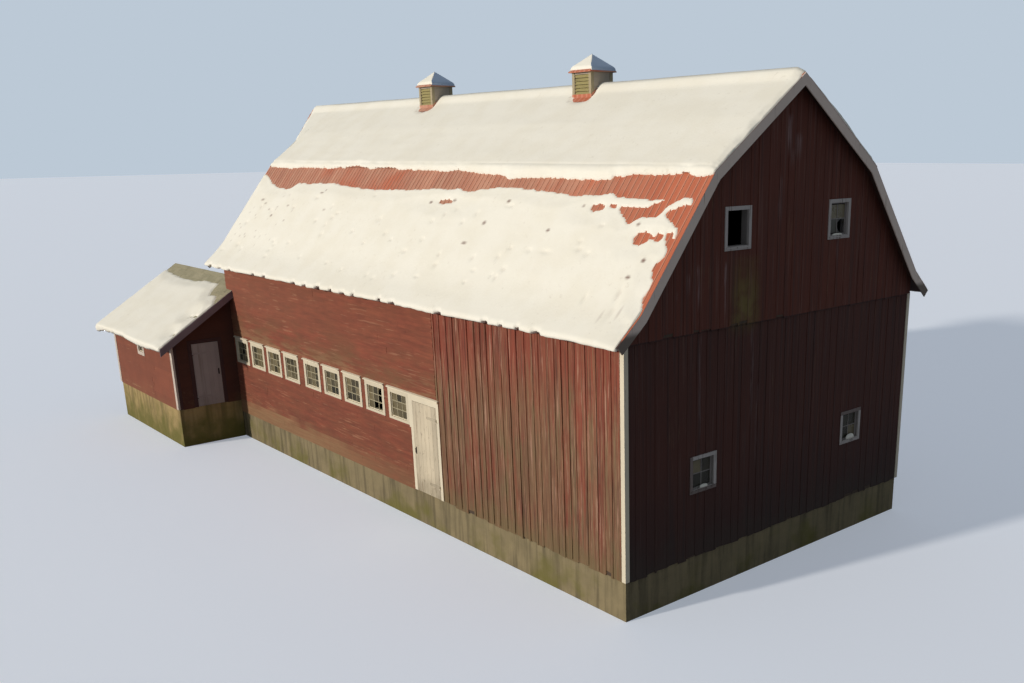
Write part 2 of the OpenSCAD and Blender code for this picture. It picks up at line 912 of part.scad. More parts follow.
// Everything under the annex's roof boards at a depth
function annex_drop(x) = abs(x - annex_ridge_x) * tan(annex_pitch);
module under_annex_roof(y0, y1) {
    top = annex_ridge_z - roof_t / cos(annex_pitch);
    along(y0, y1) polygon([
        [annex_ridge_x - annex_eave_x, 0],
        [annex_ridge_x - annex_eave_x, top - annex_eave_x * tan(annex_pitch)],
        [annex_ridge_x, top],
        [annex_ridge_x + annex_eave_x, top - annex_eave_x * tan(annex_pitch)],
        [annex_ridge_x + annex_eave_x, 0]
    ]);
}

module annex_wall(low, high) {
    intersection() {
        block([low[0], low[1], annex_floor], [high[0], high[1], annex_ridge_z]);
        under_annex_roof(low[1] - past, high[1] + past);
    }
}

annex_door_mid = annex_outer + annex_door_x + annex_door_w / 2;

module annex_front_wall() {
    half = annex_door_w / 2;
    color("firebrick") at_reference() difference() {
        annex_wall([annex_outer, annex_front], [-half_w, half_l]);
        block(
            [annex_door_mid - half, annex_front - past, 0],
            [annex_door_mid + half, half_l + past, annex_floor + annex_door_h]
        );
    }
}

module annex_side_walls() {
    y0 = annex_front + annex_win_y;
    z0 = annex_floor + annex_win_sill;
    color("firebrick") at_reference() difference() {
        union() {
            annex_wall([annex_outer, half_l], [annex_outer + wall_t, annex_back - wall_t]);
            annex_wall([annex_inner - wall_t, half_l], [annex_inner, annex_back - wall_t]);
        }
        block(
            [annex_outer - past, y0 - annex_win_w / 2, z0],
            [annex_outer + wall_t + past, y0 + annex_win_w / 2, z0 + annex_win_h]
        );
    }
}

module annex_back_wall() {
    color("firebrick") at_reference()
        annex_wall([annex_outer, annex_back - wall_t], [annex_inner, annex_back]);
}

// The annex's roof, cut round the barn's back corner
module annex_roof_layer(y0, y1, depth) {
    fall = annex_eave_x * tan(annex_pitch);
    thick = depth / cos(annex_pitch);
    along(y0, y1) polygon([
        [annex_ridge_x - annex_eave_x, annex_ridge_z - fall],
        [annex_ridge_x, annex_ridge_z],
        [annex_ridge_x + annex_eave_x, annex_ridge_z - fall],
        [annex_ridge_x + annex_eave_x, annex_ridge_z - fall - thick],
        [annex_ridge_x, annex_ridge_z - thick],
        [annex_ridge_x - annex_eave_x, annex_ridge_z - fall - thick]
    ]);
}

module barn_corner() {
    block([-half_w - annex_clear, -half_l, 0], [half_w, half_l, 2 * ridge_z]);
}

module annex_roof() {
    color("gray") at_reference() difference() {
        annex_roof_layer(annex_roof_front, annex_roof_back, roof_t);
        barn_corner();
    }
}

// Annex trim: bargeboards, corner boards, the small window's frame and the door's frame
module annex_trim() {
    color("white") at_reference() {
        difference() {
            annex_roof_layer(annex_roof_front - barge_t, annex_roof_front, barge_d);
            barn_corner();
        }
        annex_roof_layer(annex_roof_back, annex_roof_back + barge_t, barge_d);
        annex_corner_boards();
        on_annex_side() window_frame(annex_win_w, annex_win_h, wall_t, true, trim_w);
        annex_door_place() door_frame(annex_door_w, annex_door_h, wall_t);
    }
}

module annex_corner_boards() {
    intersection() {
        difference() {
            union() {
                block(
                    [annex_outer - trim_t, annex_front - trim_t, annex_floor],
                    [annex_outer + corner_w, annex_front + corner_w, annex_ridge_z]
                );
                block(
                    [annex_outer - trim_t, annex_back - corner_w, annex_floor],
                    [annex_outer + corner_w, annex_back + trim_t, annex_ridge_z]
                );
                block(
                    [annex_inner - corner_w, annex_back - corner_w, annex_floor],
                    [annex_inner + trim_t, annex_back + trim_t, annex_ridge_z]
                );
            }
            block([annex_outer, annex_front, 0], [annex_inner, annex_back, 2 * ridge_z]);
        }
        under_annex_roof(annex_front - wall_t, annex_back + wall_t);
    }
}

module annex_door_place() {
    translate([annex_door_mid, annex_front, annex_floor]) children();
}

module annex_door() {
    color("whitesmoke") at_reference() annex_door_place() door_leaf(annex_door_w, annex_door_h);
}

foundation();
left_wall_boarded();
left_wall_over_door();
left_wall_windowed();
right_wall_boarded();
right_wall_windowed();
front_gable_lower();
front_gable_upper();
back_gable_lower();
back_gable_upper();
loft_floor();
loft_joists();
loft_posts();
lower_rafters_left();
lower_rafters_right();
upper_rafters_left();
upper_rafters_right();
rafter_tails();
knuckle_beams();
ridge_beam();
roof_lower_left();
roof_lower_right();
roof_upper_left();
roof_upper_right();
ridge_cap();
hay_hood();
hay_door();
bargeboards();
corner_boards();
side_window_frames();
side_window_glass();
gable_window_frames();
gable_window_glass();
side_door_frame();
side_door();
cupola_bodies();
cupola_louvers();
cupola_roofs();
annex_base();
annex_front_wall();
annex_side_walls();
annex_back_wall();
annex_roof();
annex_trim();
annex_door();
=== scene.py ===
import math
import random

import bmesh
import bpy
import numpy as np
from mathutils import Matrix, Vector, noise


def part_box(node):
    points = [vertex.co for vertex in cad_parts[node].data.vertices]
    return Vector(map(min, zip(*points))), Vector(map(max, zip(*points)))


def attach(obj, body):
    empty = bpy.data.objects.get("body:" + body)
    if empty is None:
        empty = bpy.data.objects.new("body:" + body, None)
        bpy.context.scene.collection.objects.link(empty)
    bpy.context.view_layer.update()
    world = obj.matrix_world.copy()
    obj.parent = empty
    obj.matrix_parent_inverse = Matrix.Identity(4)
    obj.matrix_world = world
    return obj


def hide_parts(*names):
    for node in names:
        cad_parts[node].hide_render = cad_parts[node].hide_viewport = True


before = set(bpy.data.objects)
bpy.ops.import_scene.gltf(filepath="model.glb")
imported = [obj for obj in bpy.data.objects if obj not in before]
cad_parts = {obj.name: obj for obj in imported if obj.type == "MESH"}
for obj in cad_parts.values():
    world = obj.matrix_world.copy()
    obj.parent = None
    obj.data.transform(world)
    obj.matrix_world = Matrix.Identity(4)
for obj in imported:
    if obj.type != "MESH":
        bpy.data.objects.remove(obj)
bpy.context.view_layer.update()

# The viewpoint
# The camera hangs in the air off the near left corner, about as high as the roof's knuckle.
# Its tilt and place were worked out from the barn's own lines, and its frame holds the barn.
view_data = bpy.data.cameras.new("photo_view")
view_data.lens = 34.973
view_data.shift_x = -0.101
view_data.shift_y = 0.094


def put_in(name, data):
    """Adds an object to the scene."""
    made = bpy.data.objects.new(name, data)
    bpy.context.scene.collection.objects.link(made)
    return made


view = put_in("photo_view", view_data)
view.location = (-15.334, -24.754, 8.836)
view.rotation_euler = [math.radians(turn) for turn in (73.663, 0.632, -42.058)]
bpy.context.scene.camera = view
bpy.context.scene.view_settings.view_transform = "Standard"


# The studio
# A pale floor at the lowest ground, a pale grey-blue surround, and one soft lamp that comes
# over the long wall from the back left, as the low sun does, with even light from all round.
def paint(red, green, blue):
    """A paint chip's colour as the shaders take it."""
    shares = [part / 255 for part in (red, green, blue)]
    linear = [share / 12.92 if share < 0.04045 else ((share + 0.055) / 1.055) ** 2.4
              for share in shares]
    return (*linear, 1.0)


class Wire:
    """What a shader node puts out. Sums are done with wires as with numbers, by Math nodes."""

    def __init__(self, node, output=0):
        self.tree = node.id_data
        self.socket = node.outputs[output]

    def __add__(self, other):
        return calc("ADD", self, other)

    def __sub__(self, other):
        return calc("SUBTRACT", self, other)

    def __rsub__(self, other):
        return calc("SUBTRACT", other, self)

    def __mul__(self, other):
        return calc("MULTIPLY", self, other)

    def __truediv__(self, other):
        return calc("DIVIDE", self, other)

    def __rtruediv__(self, other):
        return calc("DIVIDE", other, self)

    def __abs__(self):
        return calc("ABSOLUTE", self)

    def __lt__(self, other):
        return calc("LESS_THAN", self, other)

    def __gt__(self, other):
        return calc("GREATER_THAN", self, other)


def fill(node, sockets):
    """Fills a node's sockets: a wire is plugged in, and anything else is set on the socket."""
    for name, value in sockets.items():
        if isinstance(value, Wire):
            node.id_data.links.new(value.socket, node.inputs[name])
        else:
            node.inputs[name].default_value = value


def add(tree, kind, sockets=None, **settings):
    made = tree.nodes.new("ShaderNode" + kind)
    for name, value in settings.items():
        setattr(made, name, value)
    fill(made, sockets or {})
    return made


def tree_of(values):
    return next(value.tree for value in values if isinstance(value, Wire))


def calc(way, *values):
    return Wire(add(tree_of(values), "Math", dict(enumerate(values)), operation=way))


def mix(share, first, second):
    """Two colours mixed, the more of the second the nearer the share is to 1."""
    return Wire(add(share.tree, "Mix", {0: share, 6: first, 7: second}, data_type="RGBA"), 2)


def new_finish(name):
    finish = bpy.data.materials.new(name)
    finish.use_nodes = True
    return finish, finish.node_tree, finish.node_tree.nodes["Principled BSDF"]


floor_reach = 400.0
floor_mesh = bpy.data.meshes.new("floor")
floor_mesh.from_pydata([(x * floor_reach, y * floor_reach, 0)
                        for x, y in ((-1, -1), (1, -1), (1, 1), (-1, 1))], [], [(0, 1, 2, 3)])
put_in("floor", floor_mesh)
pale_floor, tree, shader = new_finish("pale_floor")
floor_mesh.materials.append(pale_floor)
# The camera sees the floor pale, and the barn gets no more light back from it than from grass
seen = Wire(add(tree, "LightPath"), "Is Camera Ray")
fill(shader, {"Base Color": mix(seen, paint(150, 152, 160), paint(228, 231, 236)),
              "Roughness": 0.9, "Emission Color": paint(214, 222, 236),
              "Emission Strength": seen * 0.36})

lamp_data = bpy.data.lights.new("soft_lamp", "SUN")
lamp_data.energy = 2.75
lamp_data.angle = math.radians(3.0)
lamp_data.color = (1.0, 0.94, 0.86)
lamp_height = math.radians(16.5)
lamp_behind = math.radians(13)
lamp_way = Vector((-math.cos(lamp_height) * math.cos(lamp_behind),
                   math.cos(lamp_height) * math.sin(lamp_behind), math.sin(lamp_height)))
put_in("soft_lamp", lamp_data).rotation_euler = lamp_way.to_track_quat("Z", "Y").to_euler()

surround = bpy.data.worlds.new("surround")
bpy.context.scene.world = surround
surround.use_nodes = True
tree = surround.node_tree
sky_light = tree.nodes["Background"]
fill(sky_light, {"Color": (0.74, 0.86, 1.0, 1.0), "Strength": 0.22})
backdrop = add(tree, "Background", {"Color": paint(188, 201, 214), "Strength": 1.0})
rays = add(tree, "LightPath")
straight = calc("MAXIMUM", Wire(rays, "Is Camera Ray"), Wire(rays, "Is Glossy Ray"))
seen = calc("MAXIMUM", straight, Wire(rays, "Is Transmission Ray"))
either = add(tree, "MixShader", {0: seen, 1: Wire(sky_light), 2: Wire(backdrop)})
fill(tree.nodes["World Output"], {0: Wire(either)})


# Foundation, floor slab and the annex's base
# Cast in one piece from rough concrete between level boards, and never painted. It is grey
# beige, darker where rain runs down it, and green with moss near the ground.
def spread(value, low, high, start=0.0, end=1.0):
    """How far a value has come from low to high, eased, as a share from start to end."""
    return Wire(add(value.tree, "MapRange", {"Value": value, "From Min": low, "From Max": high,
                                             "To Min": start, "To Max": end},
                    interpolation_type="SMOOTHSTEP"))


def place_on(tree):
    """Where a point of the surface is, in metres."""
    return Wire(add(tree, "TexCoord"), "Object")


def way_of(tree):
    """Which way the surface faces."""
    return Wire(add(tree, "NewGeometry"), "Normal")


def axes(place):
    """A place or a way as its three parts."""
    made = add(place.tree, "SeparateXYZ", {0: place})
    return [Wire(made, axis) for axis in range(3)]


def stretched(place, stretch):
    return Wire(add(place.tree, "VectorMath", {0: place, 1: stretch}, operation="MULTIPLY"))


def scaled(colour, gain):
    """A colour, or a place, times a number."""
    return Wire(add(gain.tree, "VectorMath", {0: colour, "Scale": gain}, operation="SCALE"))


def noisy(place, size, detail=3.0, rough=0.55, stretch=(1, 1, 1)):
    """Clouds of a size in metres, or streaks where the place is stretched to suit a grain."""
    return Wire(add(place.tree, "TexNoise", {"Vector": stretched(place, stretch),
                                             "Scale": 1 / size, "Detail": detail,
                                             "Roughness": rough}))


def raised(height, depth):
    return Wire(add(height.tree, "Bump", {"Height": height, "Distance": depth}))


def effect(name, takes, *gives):
    """A shader node group: what it takes, by name, with starting values, and its end node.
    One number is a value's socket, three are a place's or a way's, and four a colour's."""
    group = bpy.data.node_groups.new(name, "ShaderNodeTree")
    for label, start in takes.items():
        kind = "Float" if isinstance(start, float) else {3: "Vector", 4: "Color"}[len(start)]
        group.interface.new_socket(label, in_out="INPUT",
                                   socket_type="NodeSocket" + kind).default_value = start
    for label in gives:
        kind = "Color" if label == "Colour" else "Float"
        group.interface.new_socket(label, in_out="OUTPUT", socket_type="NodeSocket" + kind)
    entry = group.nodes.new("NodeGroupInput")
    takes = {label: Wire(entry, label) for label in takes}
    return group, takes, group.nodes.new("NodeGroupOutput")


def use(group, **sockets):
    """An effect placed in a material with its own values, and what it puts out by name."""
    made = add(tree_of(sockets.values()), "Group", sockets, node_tree=group)
    return {output.name: Wire(made, output.name) for output in made.outputs}


white, black, nowhere = (1, 1, 1, 1), (0, 0, 0, 1), (0, 0, 0)

# Blotches lighten and darken a finish in patches, as sun and damp do
blotches, takes, end = effect(
    "blotches", {"Colour": white, "Place": nowhere, "Size": 1.0, "Strength": 0.3}, "Colour")
gain = (noisy(takes["Place"], takes["Size"], 4.0, 0.6) - 0.5) * takes["Strength"] * 2.0 + 1.0
fill(end, {"Colour": scaled(takes["Colour"], gain)})

# Grime gathers at the foot of a wall and fades out upwards with a ragged edge
grime, takes, end = effect(
    "grime", {"Colour": white, "Grime": black, "Place": nowhere, "Foot": 0.0, "Reach": 1.0,
              "Amount": 0.5}, "Colour")
rise = (axes(takes["Place"])[2] - takes["Foot"]) / takes["Reach"]
ragged = rise + (noisy(takes["Place"], 1 / 2.2, 5.0, 0.5) - 0.5) * 1.6
gathered = spread(ragged, 1.0, 0.0) * takes["Amount"]
fill(end, {"Colour": mix(gathered, takes["Colour"], takes["Grime"])})

# Cracks are hairlines that wander along the place they are given
cracks, takes, end = effect("cracks", {"Place": nowhere, "Width": 0.01}, "Mask")
off_line = abs(noisy(takes["Place"], 1.0, 1.0, 0.5) - 0.5)
fill(end, {"Mask": spread(off_line, takes["Width"], 0.0)})


def concrete_finish(name, light, dark, moss_amount, moss_reach, damp):
    """Cast concrete with moss in patches: how much, how far up, and where it begins."""
    finish, tree, shader = new_finish(name)
    place = place_on(tree)
    runs = noisy(place, 1.0, 4.0, stretch=(6, 6, 0.5))
    cast = mix(spread(runs, 0.42, 0.7), light, dark)
    patchy = use(blotches, Colour=cast, Place=place, Size=0.5, Strength=0.35)["Colour"]
    split = use(cracks, Place=stretched(place, (2.6, 2.6, 0.05)), Width=0.006)["Mask"]
    rare = spread(noisy(place, 2.0, 1.0), 0.5, 0.6, 0.0, 0.5)
    cracked = mix(split * rare, patchy, paint(84, 74, 54))
    patches = spread(noisy(place, 1.3, 4.0), *damp)
    mossy = use(grime, Colour=cracked, Grime=paint(104, 98, 42), Place=place, Foot=0.0,
                Reach=moss_reach, Amount=patches * moss_amount)["Colour"]
    seams = add(tree, "TexWave", {"Vector": place, "Scale": 1.55, "Distortion": 0.4,
                                  "Detail": 2.0}, bands_direction="Z", wave_profile="SAW")
    grit = noisy(place, 0.02)
    pits = noisy(place, 0.12, 5.0)
    fill(shader, {"Base Color": mossy, "Roughness": 0.92,
                  "Normal": raised(Wire(seams, 1) * 0.35 + (grit * 0.25 + pits), 0.012)})
    return finish


def dress(finish, *nodes):
    for name in nodes:
        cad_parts[name].material_slots[0].material = finish


dress(concrete_finish("rough_concrete", paint(134, 120, 89), paint(102, 91, 66), 0.85, 0.8,
                      (0.46, 0.62)), "foundation")
dress(concrete_finish("mossy_concrete", paint(168, 144, 96), paint(128, 110, 70), 0.95, 1.25,
                      (0.2, 0.4)), "annex_base")


# Long walls, near the front gable
# Upright sawn boards nailed to the frame, with battens over their joints. The red paint has
# worn to grey-brown wood from the foot upwards, and the boards' lower ends have rotted ragged.
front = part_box("front_gable_lower")[0].y
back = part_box("back_gable_lower")[1].y
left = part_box("left_wall_boarded")[0].x
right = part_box("right_wall_boarded")[1].x
middle = (left + right) / 2
sill_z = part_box("foundation")[1].z
siding_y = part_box("left_wall_boarded")[1].y
corner_width, gable_corner = 0.13, 0.08

# The roof's surface as distance out from the ridge and height: ridge, knuckle, flare, eave
roof_line = [(0.0, 10.16), (2.53, 8.37), (4.40, 5.97), (4.965, 5.48)]
roof_depth = 0.085


def roof_height(out):
    """Height of the roof's surface at a distance out from the middle."""
    for (near_out, near_z), (far_out, far_z) in zip(roof_line, roof_line[1:]):
        if out <= far_out or far_out == roof_line[-1][0]:
            return near_z + (out - near_out) * (far_z - near_z) / (far_out - near_out)


class Joinery:
    """Collects boards, bars and sheets, each closed, into one joined mesh."""

    def __init__(self):
        self.points = []
        self.faces = []
        self.tones = []
        self.ages = []

    def sweep(self, rings, tone=0.5, age=0.5):
        """One solid through rings of corners that match, closed at both ends."""
        first = len(self.points)
        count = len(rings[0])
        for ring in rings:
            self.points.extend(ring)
            self.tones.extend([tone] * count)
            self.ages.extend([age] * count)
        for step in range(len(rings) - 1):
            base = first + step * count
            for side in range(count):
                after = (side + 1) % count
                self.faces.append((base + side, base + after,
                                   base + count + after, base + count + side))
        last = first + (len(rings) - 1) * count
        self.faces.append(tuple(first + side for side in reversed(range(count))))
        self.faces.append(tuple(last + side for side in range(count)))

    def box(self, corner, opposite):
        (x0, x1), (y0, y1), (z0, z1) = [sorted(pair) for pair in zip(corner, opposite)]
        self.sweep([[(x, y0, z0), (x, y1, z0), (x, y1, z1), (x, y0, z1)] for x in (x0, x1)])

    def piece(self, name, finish, slot=None, body="barn", smooth=False, stands_for=()):
        mesh = bpy.data.meshes.new(name)
        mesh.from_pydata(self.points, [], self.faces)
        for label, values in (("tone", self.tones), ("age", self.ages)):
            mesh.attributes.new(label, "FLOAT", "POINT").data.foreach_set("value", values)
        shaped = bmesh.new()
        shaped.from_mesh(mesh)
        bmesh.ops.recalc_face_normals(shaped, faces=shaped.faces)
        shaped.to_mesh(mesh)
        shaped.free()
        mesh.materials.append(finish)
        made = put_in(name, mesh)
        if smooth:
            mesh.shade_smooth()
        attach(made, body)
        if stands_for:
            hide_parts(*stands_for)


def around(holes, low_a, high_a, low_z, high_z):
    """The part of a panel that its holes leave, cut into upright rectangles."""
    cuts = {low_a, high_a}
    for hole in holes:
        cuts.update(a for a in hole[:2] if low_a < a < high_a)
    cuts = sorted(cuts)
    left_over = []
    for start, stop in zip(cuts, cuts[1:]):
        spans = [(low_z, high_z)]
        for hole_start, hole_stop, hole_low, hole_high in holes:
            if hole_start < stop - 1e-6 and hole_stop > start + 1e-6:
                cut_spans = []
                for span_low, span_high in spans:
                    if hole_low > span_low:
                        cut_spans.append((span_low, min(span_high, hole_low)))
                    if hole_high < span_high:
                        cut_spans.append((max(span_low, hole_high), span_high))
                spans = [span for span in cut_spans if span[1] > span[0]]
        left_over.extend((start, stop, *span) for span in spans if span[1] - span[0] > 0.012)
    return left_over


def side_face(x, outward):
    """A wall that looks along X: takes a place along it, a height, and a distance out."""
    return lambda along, z, out: (x + outward * out, along, z)


on_left, on_right = side_face(left, -1), side_face(right, 1)
no_end = 99.0


def board_up(work, face, panel, holes, top, thick, tone, age, ragged=(0.0, 0.0)):
    """An upright board on a wall's face, cut round holes, with its head cut to the line above
    it. How ragged its foot is at either side counts only where the whole board has its foot."""
    for start, stop, low, high in around(holes, *panel):
        if min(high, max(top(start), top(stop))) - low < 0.02:
            continue
        rings = []
        for along, rise in zip((start, stop), ragged):
            head = max(min(high, top(along)), low + 0.005)
            foot = min(low + rise if low == panel[2] else low, head - 0.004)
            rings.append([face(along, foot, 0.0), face(along, head, 0.0),
                          face(along, head, thick), face(along, foot, thick)])
        work.sweep(rings, tone, age)


def boards_and_battens(work, face, start, stop, foot, top, holes, dice, sizes):
    """Fills a wall with upright boards, and covers their joints with battens. The sizes are
    a board's width and thickness, a batten's, and the gap between two boards."""
    width, thick, batten, batten_thick, gap = sizes
    along = start
    while along < stop - 0.04:
        broad = min(width * dice.uniform(0.74, 1.22), stop - along)
        if stop - along - broad < 0.06:
            broad = stop - along
        tone, age = dice.random(), dice.random()
        rot = dice.uniform(-0.035, 0.01) if dice.random() > 0.16 else dice.uniform(0.03, 0.085)
        slant = dice.uniform(-0.012, 0.012)
        proud = thick + dice.uniform(-0.0025, 0.0025)
        panel = (along + gap / 2, along + broad - gap / 2, foot, no_end)
        board_up(work, face, panel, holes, top, proud, tone, age, (rot - slant, rot + slant))
        along += broad
        if along < stop - 0.04:
            lean = dice.uniform(-0.004, 0.004)
            tone, age = dice.uniform(0.2, 1.0), dice.uniform(0.3, 1.1)
            short = dice.uniform(-0.03, 0.05)
            proud = thick + (batten_thick - thick) * dice.uniform(0.5, 1.1)
            panel = (along - batten / 2 + lean, along + batten / 2 + lean, foot, no_end)
            board_up(work, face, panel, holes, top, proud, tone, age, (short, short + 0.004))


# Grain runs in streaks along a board, and each board has its own
grain, takes, end = effect("grain", {"Place": nowhere, "Tone": 0.5}, "Streaks", "Fibres")
own = scaled((71.0, 53.0, 31.0), takes["Tone"])
moved = Wire(add(grain, "VectorMath", {0: takes["Place"], 1: own}, operation="ADD"))
streaks = add(grain, "TexNoise", {"Vector": moved, "Scale": 1.0, "Detail": 4.0,
                                  "Roughness": 0.62, "Distortion": 0.3})
fill(end, {"Streaks": Wire(streaks), "Fibres": noisy(moved, 1 / 4.5, 3.0, 0.6)})

# Worn paint lies over wood that shows where wear has reached it, in streaks along the grain
worn_paint, takes, end = effect(
    "worn_paint", {"Paint": white, "Wood": white, "Streaks": 0.5, "Fibres": 0.5, "Tone": 0.5,
                   "Wear": 0.3, "Sharp": 0.12, "Swing": 0.3}, "Colour", "Bare", "Height")
worn = takes["Wear"] + ((takes["Streaks"] - 0.5) * 1.5 + (takes["Fibres"] - 0.5) * 0.9)
bare = spread(worn, 0.5 - takes["Sharp"], takes["Sharp"] + 0.5)
painted = scaled(takes["Paint"], (takes["Tone"] - 0.5) * takes["Swing"] + 1.0)
wood = scaled(takes["Wood"], takes["Fibres"] * 1.1 + (takes["Tone"] * 0.3 + 0.3))
fill(end, {"Colour": mix(bare, painted, wood), "Bare": bare,
           "Height": takes["Fibres"] * 0.8 - bare * 0.25})


def attribute(tree, name):
    return Wire(add(tree, "Attribute", attribute_name=name), "Fac")


upright = (16.0, 16.0, 0.55)
level_y = (16.0, 0.6, 16.0)
level_x = (0.6, 16.0, 16.0)


def board_finish(name, coat, wood_tint, wear, run, sharp, foot_wear=(0.0, 0.0, 1.0),
                 foot_grime=0.0, grime_tint=(0.1, 0.09, 0.04, 1), patch=0.2, rough=0.85,
                 whole=False, swing=0.35, own=0.3, marks=None, side_light_gain=None):
    """Painted boards: the coat, what shows under it, how worn it is, and which way grain runs.
    foot_wear adds wear below a height and fades out above it: how much, low and high.
    sharp is how softly the paint ends, swing how far the boards' wear differs, own how far
    their tones do, marks adds what one wall alone has, side_light_gain how much brighter or
    darker the boards' side faces are painted than their fronts, as painted light and shade."""
    finish, tree, shader = new_finish(name)
    place = place_on(tree)
    tone = 0.5 if whole else attribute(tree, "tone")
    age = 0.5 if whole else attribute(tree, "age")
    lines = use(grain, Place=stretched(place, run), Tone=tone)
    more, low, high = foot_wear
    near_foot = spread(axes(place)[2], high, low) * more
    worn = near_foot + wear + (age - 0.5) * swing + (noisy(place, 1.1) - 0.5) * 0.5
    coats = use(worn_paint, Paint=coat, Wood=wood_tint, Streaks=lines["Streaks"],
                Fibres=lines["Fibres"], Tone=tone, Wear=worn, Sharp=sharp, Swing=own)
    colour = use(blotches, Colour=coats["Colour"], Place=place, Size=0.8,
                 Strength=patch)["Colour"]
    if marks:
        colour = marks(place, colour, coats["Bare"])
    colour = use(grime, Colour=colour, Grime=grime_tint, Place=place, Foot=sill_z - 0.1,
                 Reach=0.9, Amount=foot_grime)["Colour"]
    if side_light_gain:
        # Painted light and shade: the boards' side faces, which look along the wall, are scaled by
        # the gain
        along_wall = abs(axes(way_of(tree))[1])
        colour = scaled(colour, 1.0 - spread(along_wall, 0.6, 0.85) * (1.0 - side_light_gain))
    fill(shader, {"Base Color": colour, "Roughness": rough,
                  "Normal": raised(coats["Height"], 0.004)})
    return finish


def timber_finish(name, tint, run, shade=0.3):
    """Unpainted timber, sawn and greyed."""
    finish, tree, shader = new_finish(name)
    place = place_on(tree)
    lines = use(grain, Place=stretched(place, run), Tone=0.5)
    dark = (*[part * shade for part in tint[:3]], 1.0)
    streaky = mix(lines["Streaks"], tint, dark)
    patchy = use(blotches, Colour=streaky, Place=place, Size=0.7, Strength=0.3)["Colour"]
    fill(shader, {"Base Color": patchy, "Roughness": 0.9,
                  "Normal": raised(lines["Fibres"], 0.003)})
    return finish


def board_marks(place, colour, bare):
    """Bare wood goes olive in patches, and pale where the sun has bleached its fibres. Wear
    spreads in clouds over several boards, and the wall is darker towards its foot."""
    _, along, height = axes(place)
    clouds = spread(noisy(place, 1.5, 4.0, 0.6, (1, 1, 0.5)), 0.44, 0.62)
    low = spread(height, 4.9, 3.7, 0.06, 0.66) * spread(along, -7.2, -8.8, 0.55, 1.0)
    colour = mix(clouds * low, colour, paint(126, 97, 68))
    olive = spread(noisy(place, 0.8, stretch=(1, 1, 0.4)), 0.52, 0.66)
    colour = mix(olive * (bare * 0.6), colour, paint(120, 108, 72))
    bleached = spread(noisy(place, 1.0, 3.0, 0.65, (44, 44, 1.0)), 0.54, 0.64)
    colour = mix(bleached * spread(height, 5.3, 4.2, 0.35, 0.65), colour, paint(172, 136, 102))
    rubbed = spread(noisy(place, 1.0, 4.0, 0.66, (19, 19, 0.8)), 0.57, 0.65)
    colour = mix(rubbed * 0.7, colour, paint(190, 146, 122))
    dark = spread(noisy(place, 1.0, 3.0, 0.65, (34, 34, 0.5)), 0.48, 0.38)
    colour = mix(dark * 0.7, colour, paint(76, 40, 26))
    return scaled(colour, spread(height, 1.2, 4.6, 0.795, 0.93))


# The battens' shaded side faces are painted 1.8 times brighter: painted light
weathered = board_finish("weathered_red_boards", paint(136, 64, 45), paint(130, 100, 72), 0.13,
                         upright, foot_wear=(0.42, 3.0, 5.2), foot_grime=0.6,
                         grime_tint=paint(110, 96, 62), sharp=0.34, swing=0.24,
                         own=0.22, marks=board_marks, side_light_gain=1.8)
wall_core = timber_finish("dark_wall_timber", paint(92, 74, 58), upright)
dress(wall_core, "left_wall_boarded", "left_wall_over_door", "left_wall_windowed",
      "right_wall_boarded", "right_wall_windowed", "front_gable_lower", "front_gable_upper",
      "back_gable_lower", "back_gable_upper")


def level(height):
    """The top line of a wall whose boards all end at one height."""
    return lambda along: height


eave_height = roof_height(right - middle + 0.03) - roof_depth
barn_boards = (0.255, 0.008, 0.05, 0.030, 0.006)
edge_batten = (front + 0.085, front + corner_width + 0.005, sill_z, no_end)
door_low, door_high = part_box("side_door_frame")
door_hole = (door_low.y, door_high.y, 0.0, door_high.z)
for name, face, holes, seed in (("left_boards", on_left, [door_hole], 11),
                                ("right_boards", on_right, [], 12)):
    work = Joinery()
    boards_and_battens(work, face, front + corner_width - 0.01, siding_y, sill_z,
                       level(eave_height), holes, random.Random(seed), barn_boards)
    # A batten laps the corner board's edge
    board_up(work, face, edge_batten, [], level(eave_height), 0.034, 0.8, 0.6)
    work.piece(name, weathered, "weathered_boards")


# Long walls, past the door
# Level lap siding, each board wedged over the one below, painted brick red. The paint has
# faded and is scratched, and brown with dust under the eaves.
window_pitch = 1.16
window_ys = [front + 8.11 + window_pitch * number for number in range(5)]
window_ys += [back - 0.748 - window_pitch * number for number in (3, 2, 1, 0)]
side_hole = (0.78, 0.65)
side_sill = 2.50
trim_width = 0.09
lap_step = 0.142
lap_foot, lap_head = 0.019, 0.006


def lap_boards(work, face, start, stop, low, high, top, sides, holes, dice):
    """Level siding on a wall's face between two lines, cut round its holes."""
    z = low
    while z < high - 0.01:
        z_next = min(z + lap_step, high)
        along = start
        joint = start + dice.uniform(0.8, 4.0)
        while along < stop - 0.01:
            reach = min(joint, stop)
            if stop - reach < 0.3:
                reach = stop
            tone, age = dice.random(), dice.random()
            sag = dice.uniform(-0.003, 0.003)
            cup = dice.uniform(-0.002, 0.004)
            for a0, a1, z0, z1 in around(holes, along, reach - 0.002, z, z_next):
                (low_l, low_r), (top_l, top_r) = sides(z0), sides(z1)
                end_low, end_top = min(a1, low_r), min(a1, top_r)
                if max(a0, low_l) > end_low - 0.01:
                    continue
                start_top = min(max(a0, top_l), end_top - 0.002)
                out_low, out_top = [lap_foot + cup + (lap_head - lap_foot) * (at - z) / lap_step
                                    for at in (z0, z1)]
                foot = z0 + (sag if z0 > low + 0.01 else 0.0)
                rings = []
                for at_low, at_top in ((max(a0, low_l), start_top), (end_low, end_top)):
                    head = max(min(z1, top(at_top)), foot + 0.004)
                    rings.append([face(at_low, foot, 0.0), face(at_top, head, 0.0),
                                  face(at_top, head, out_top), face(at_low, foot, out_low)])
                work.sweep(rings, tone, age)
            along = reach
            joint = along + dice.uniform(2.4, 4.9)
        z = z_next


def upright_sides(z):
    """The limits of a wall whose ends no slope cuts."""
    return (-no_end, no_end)


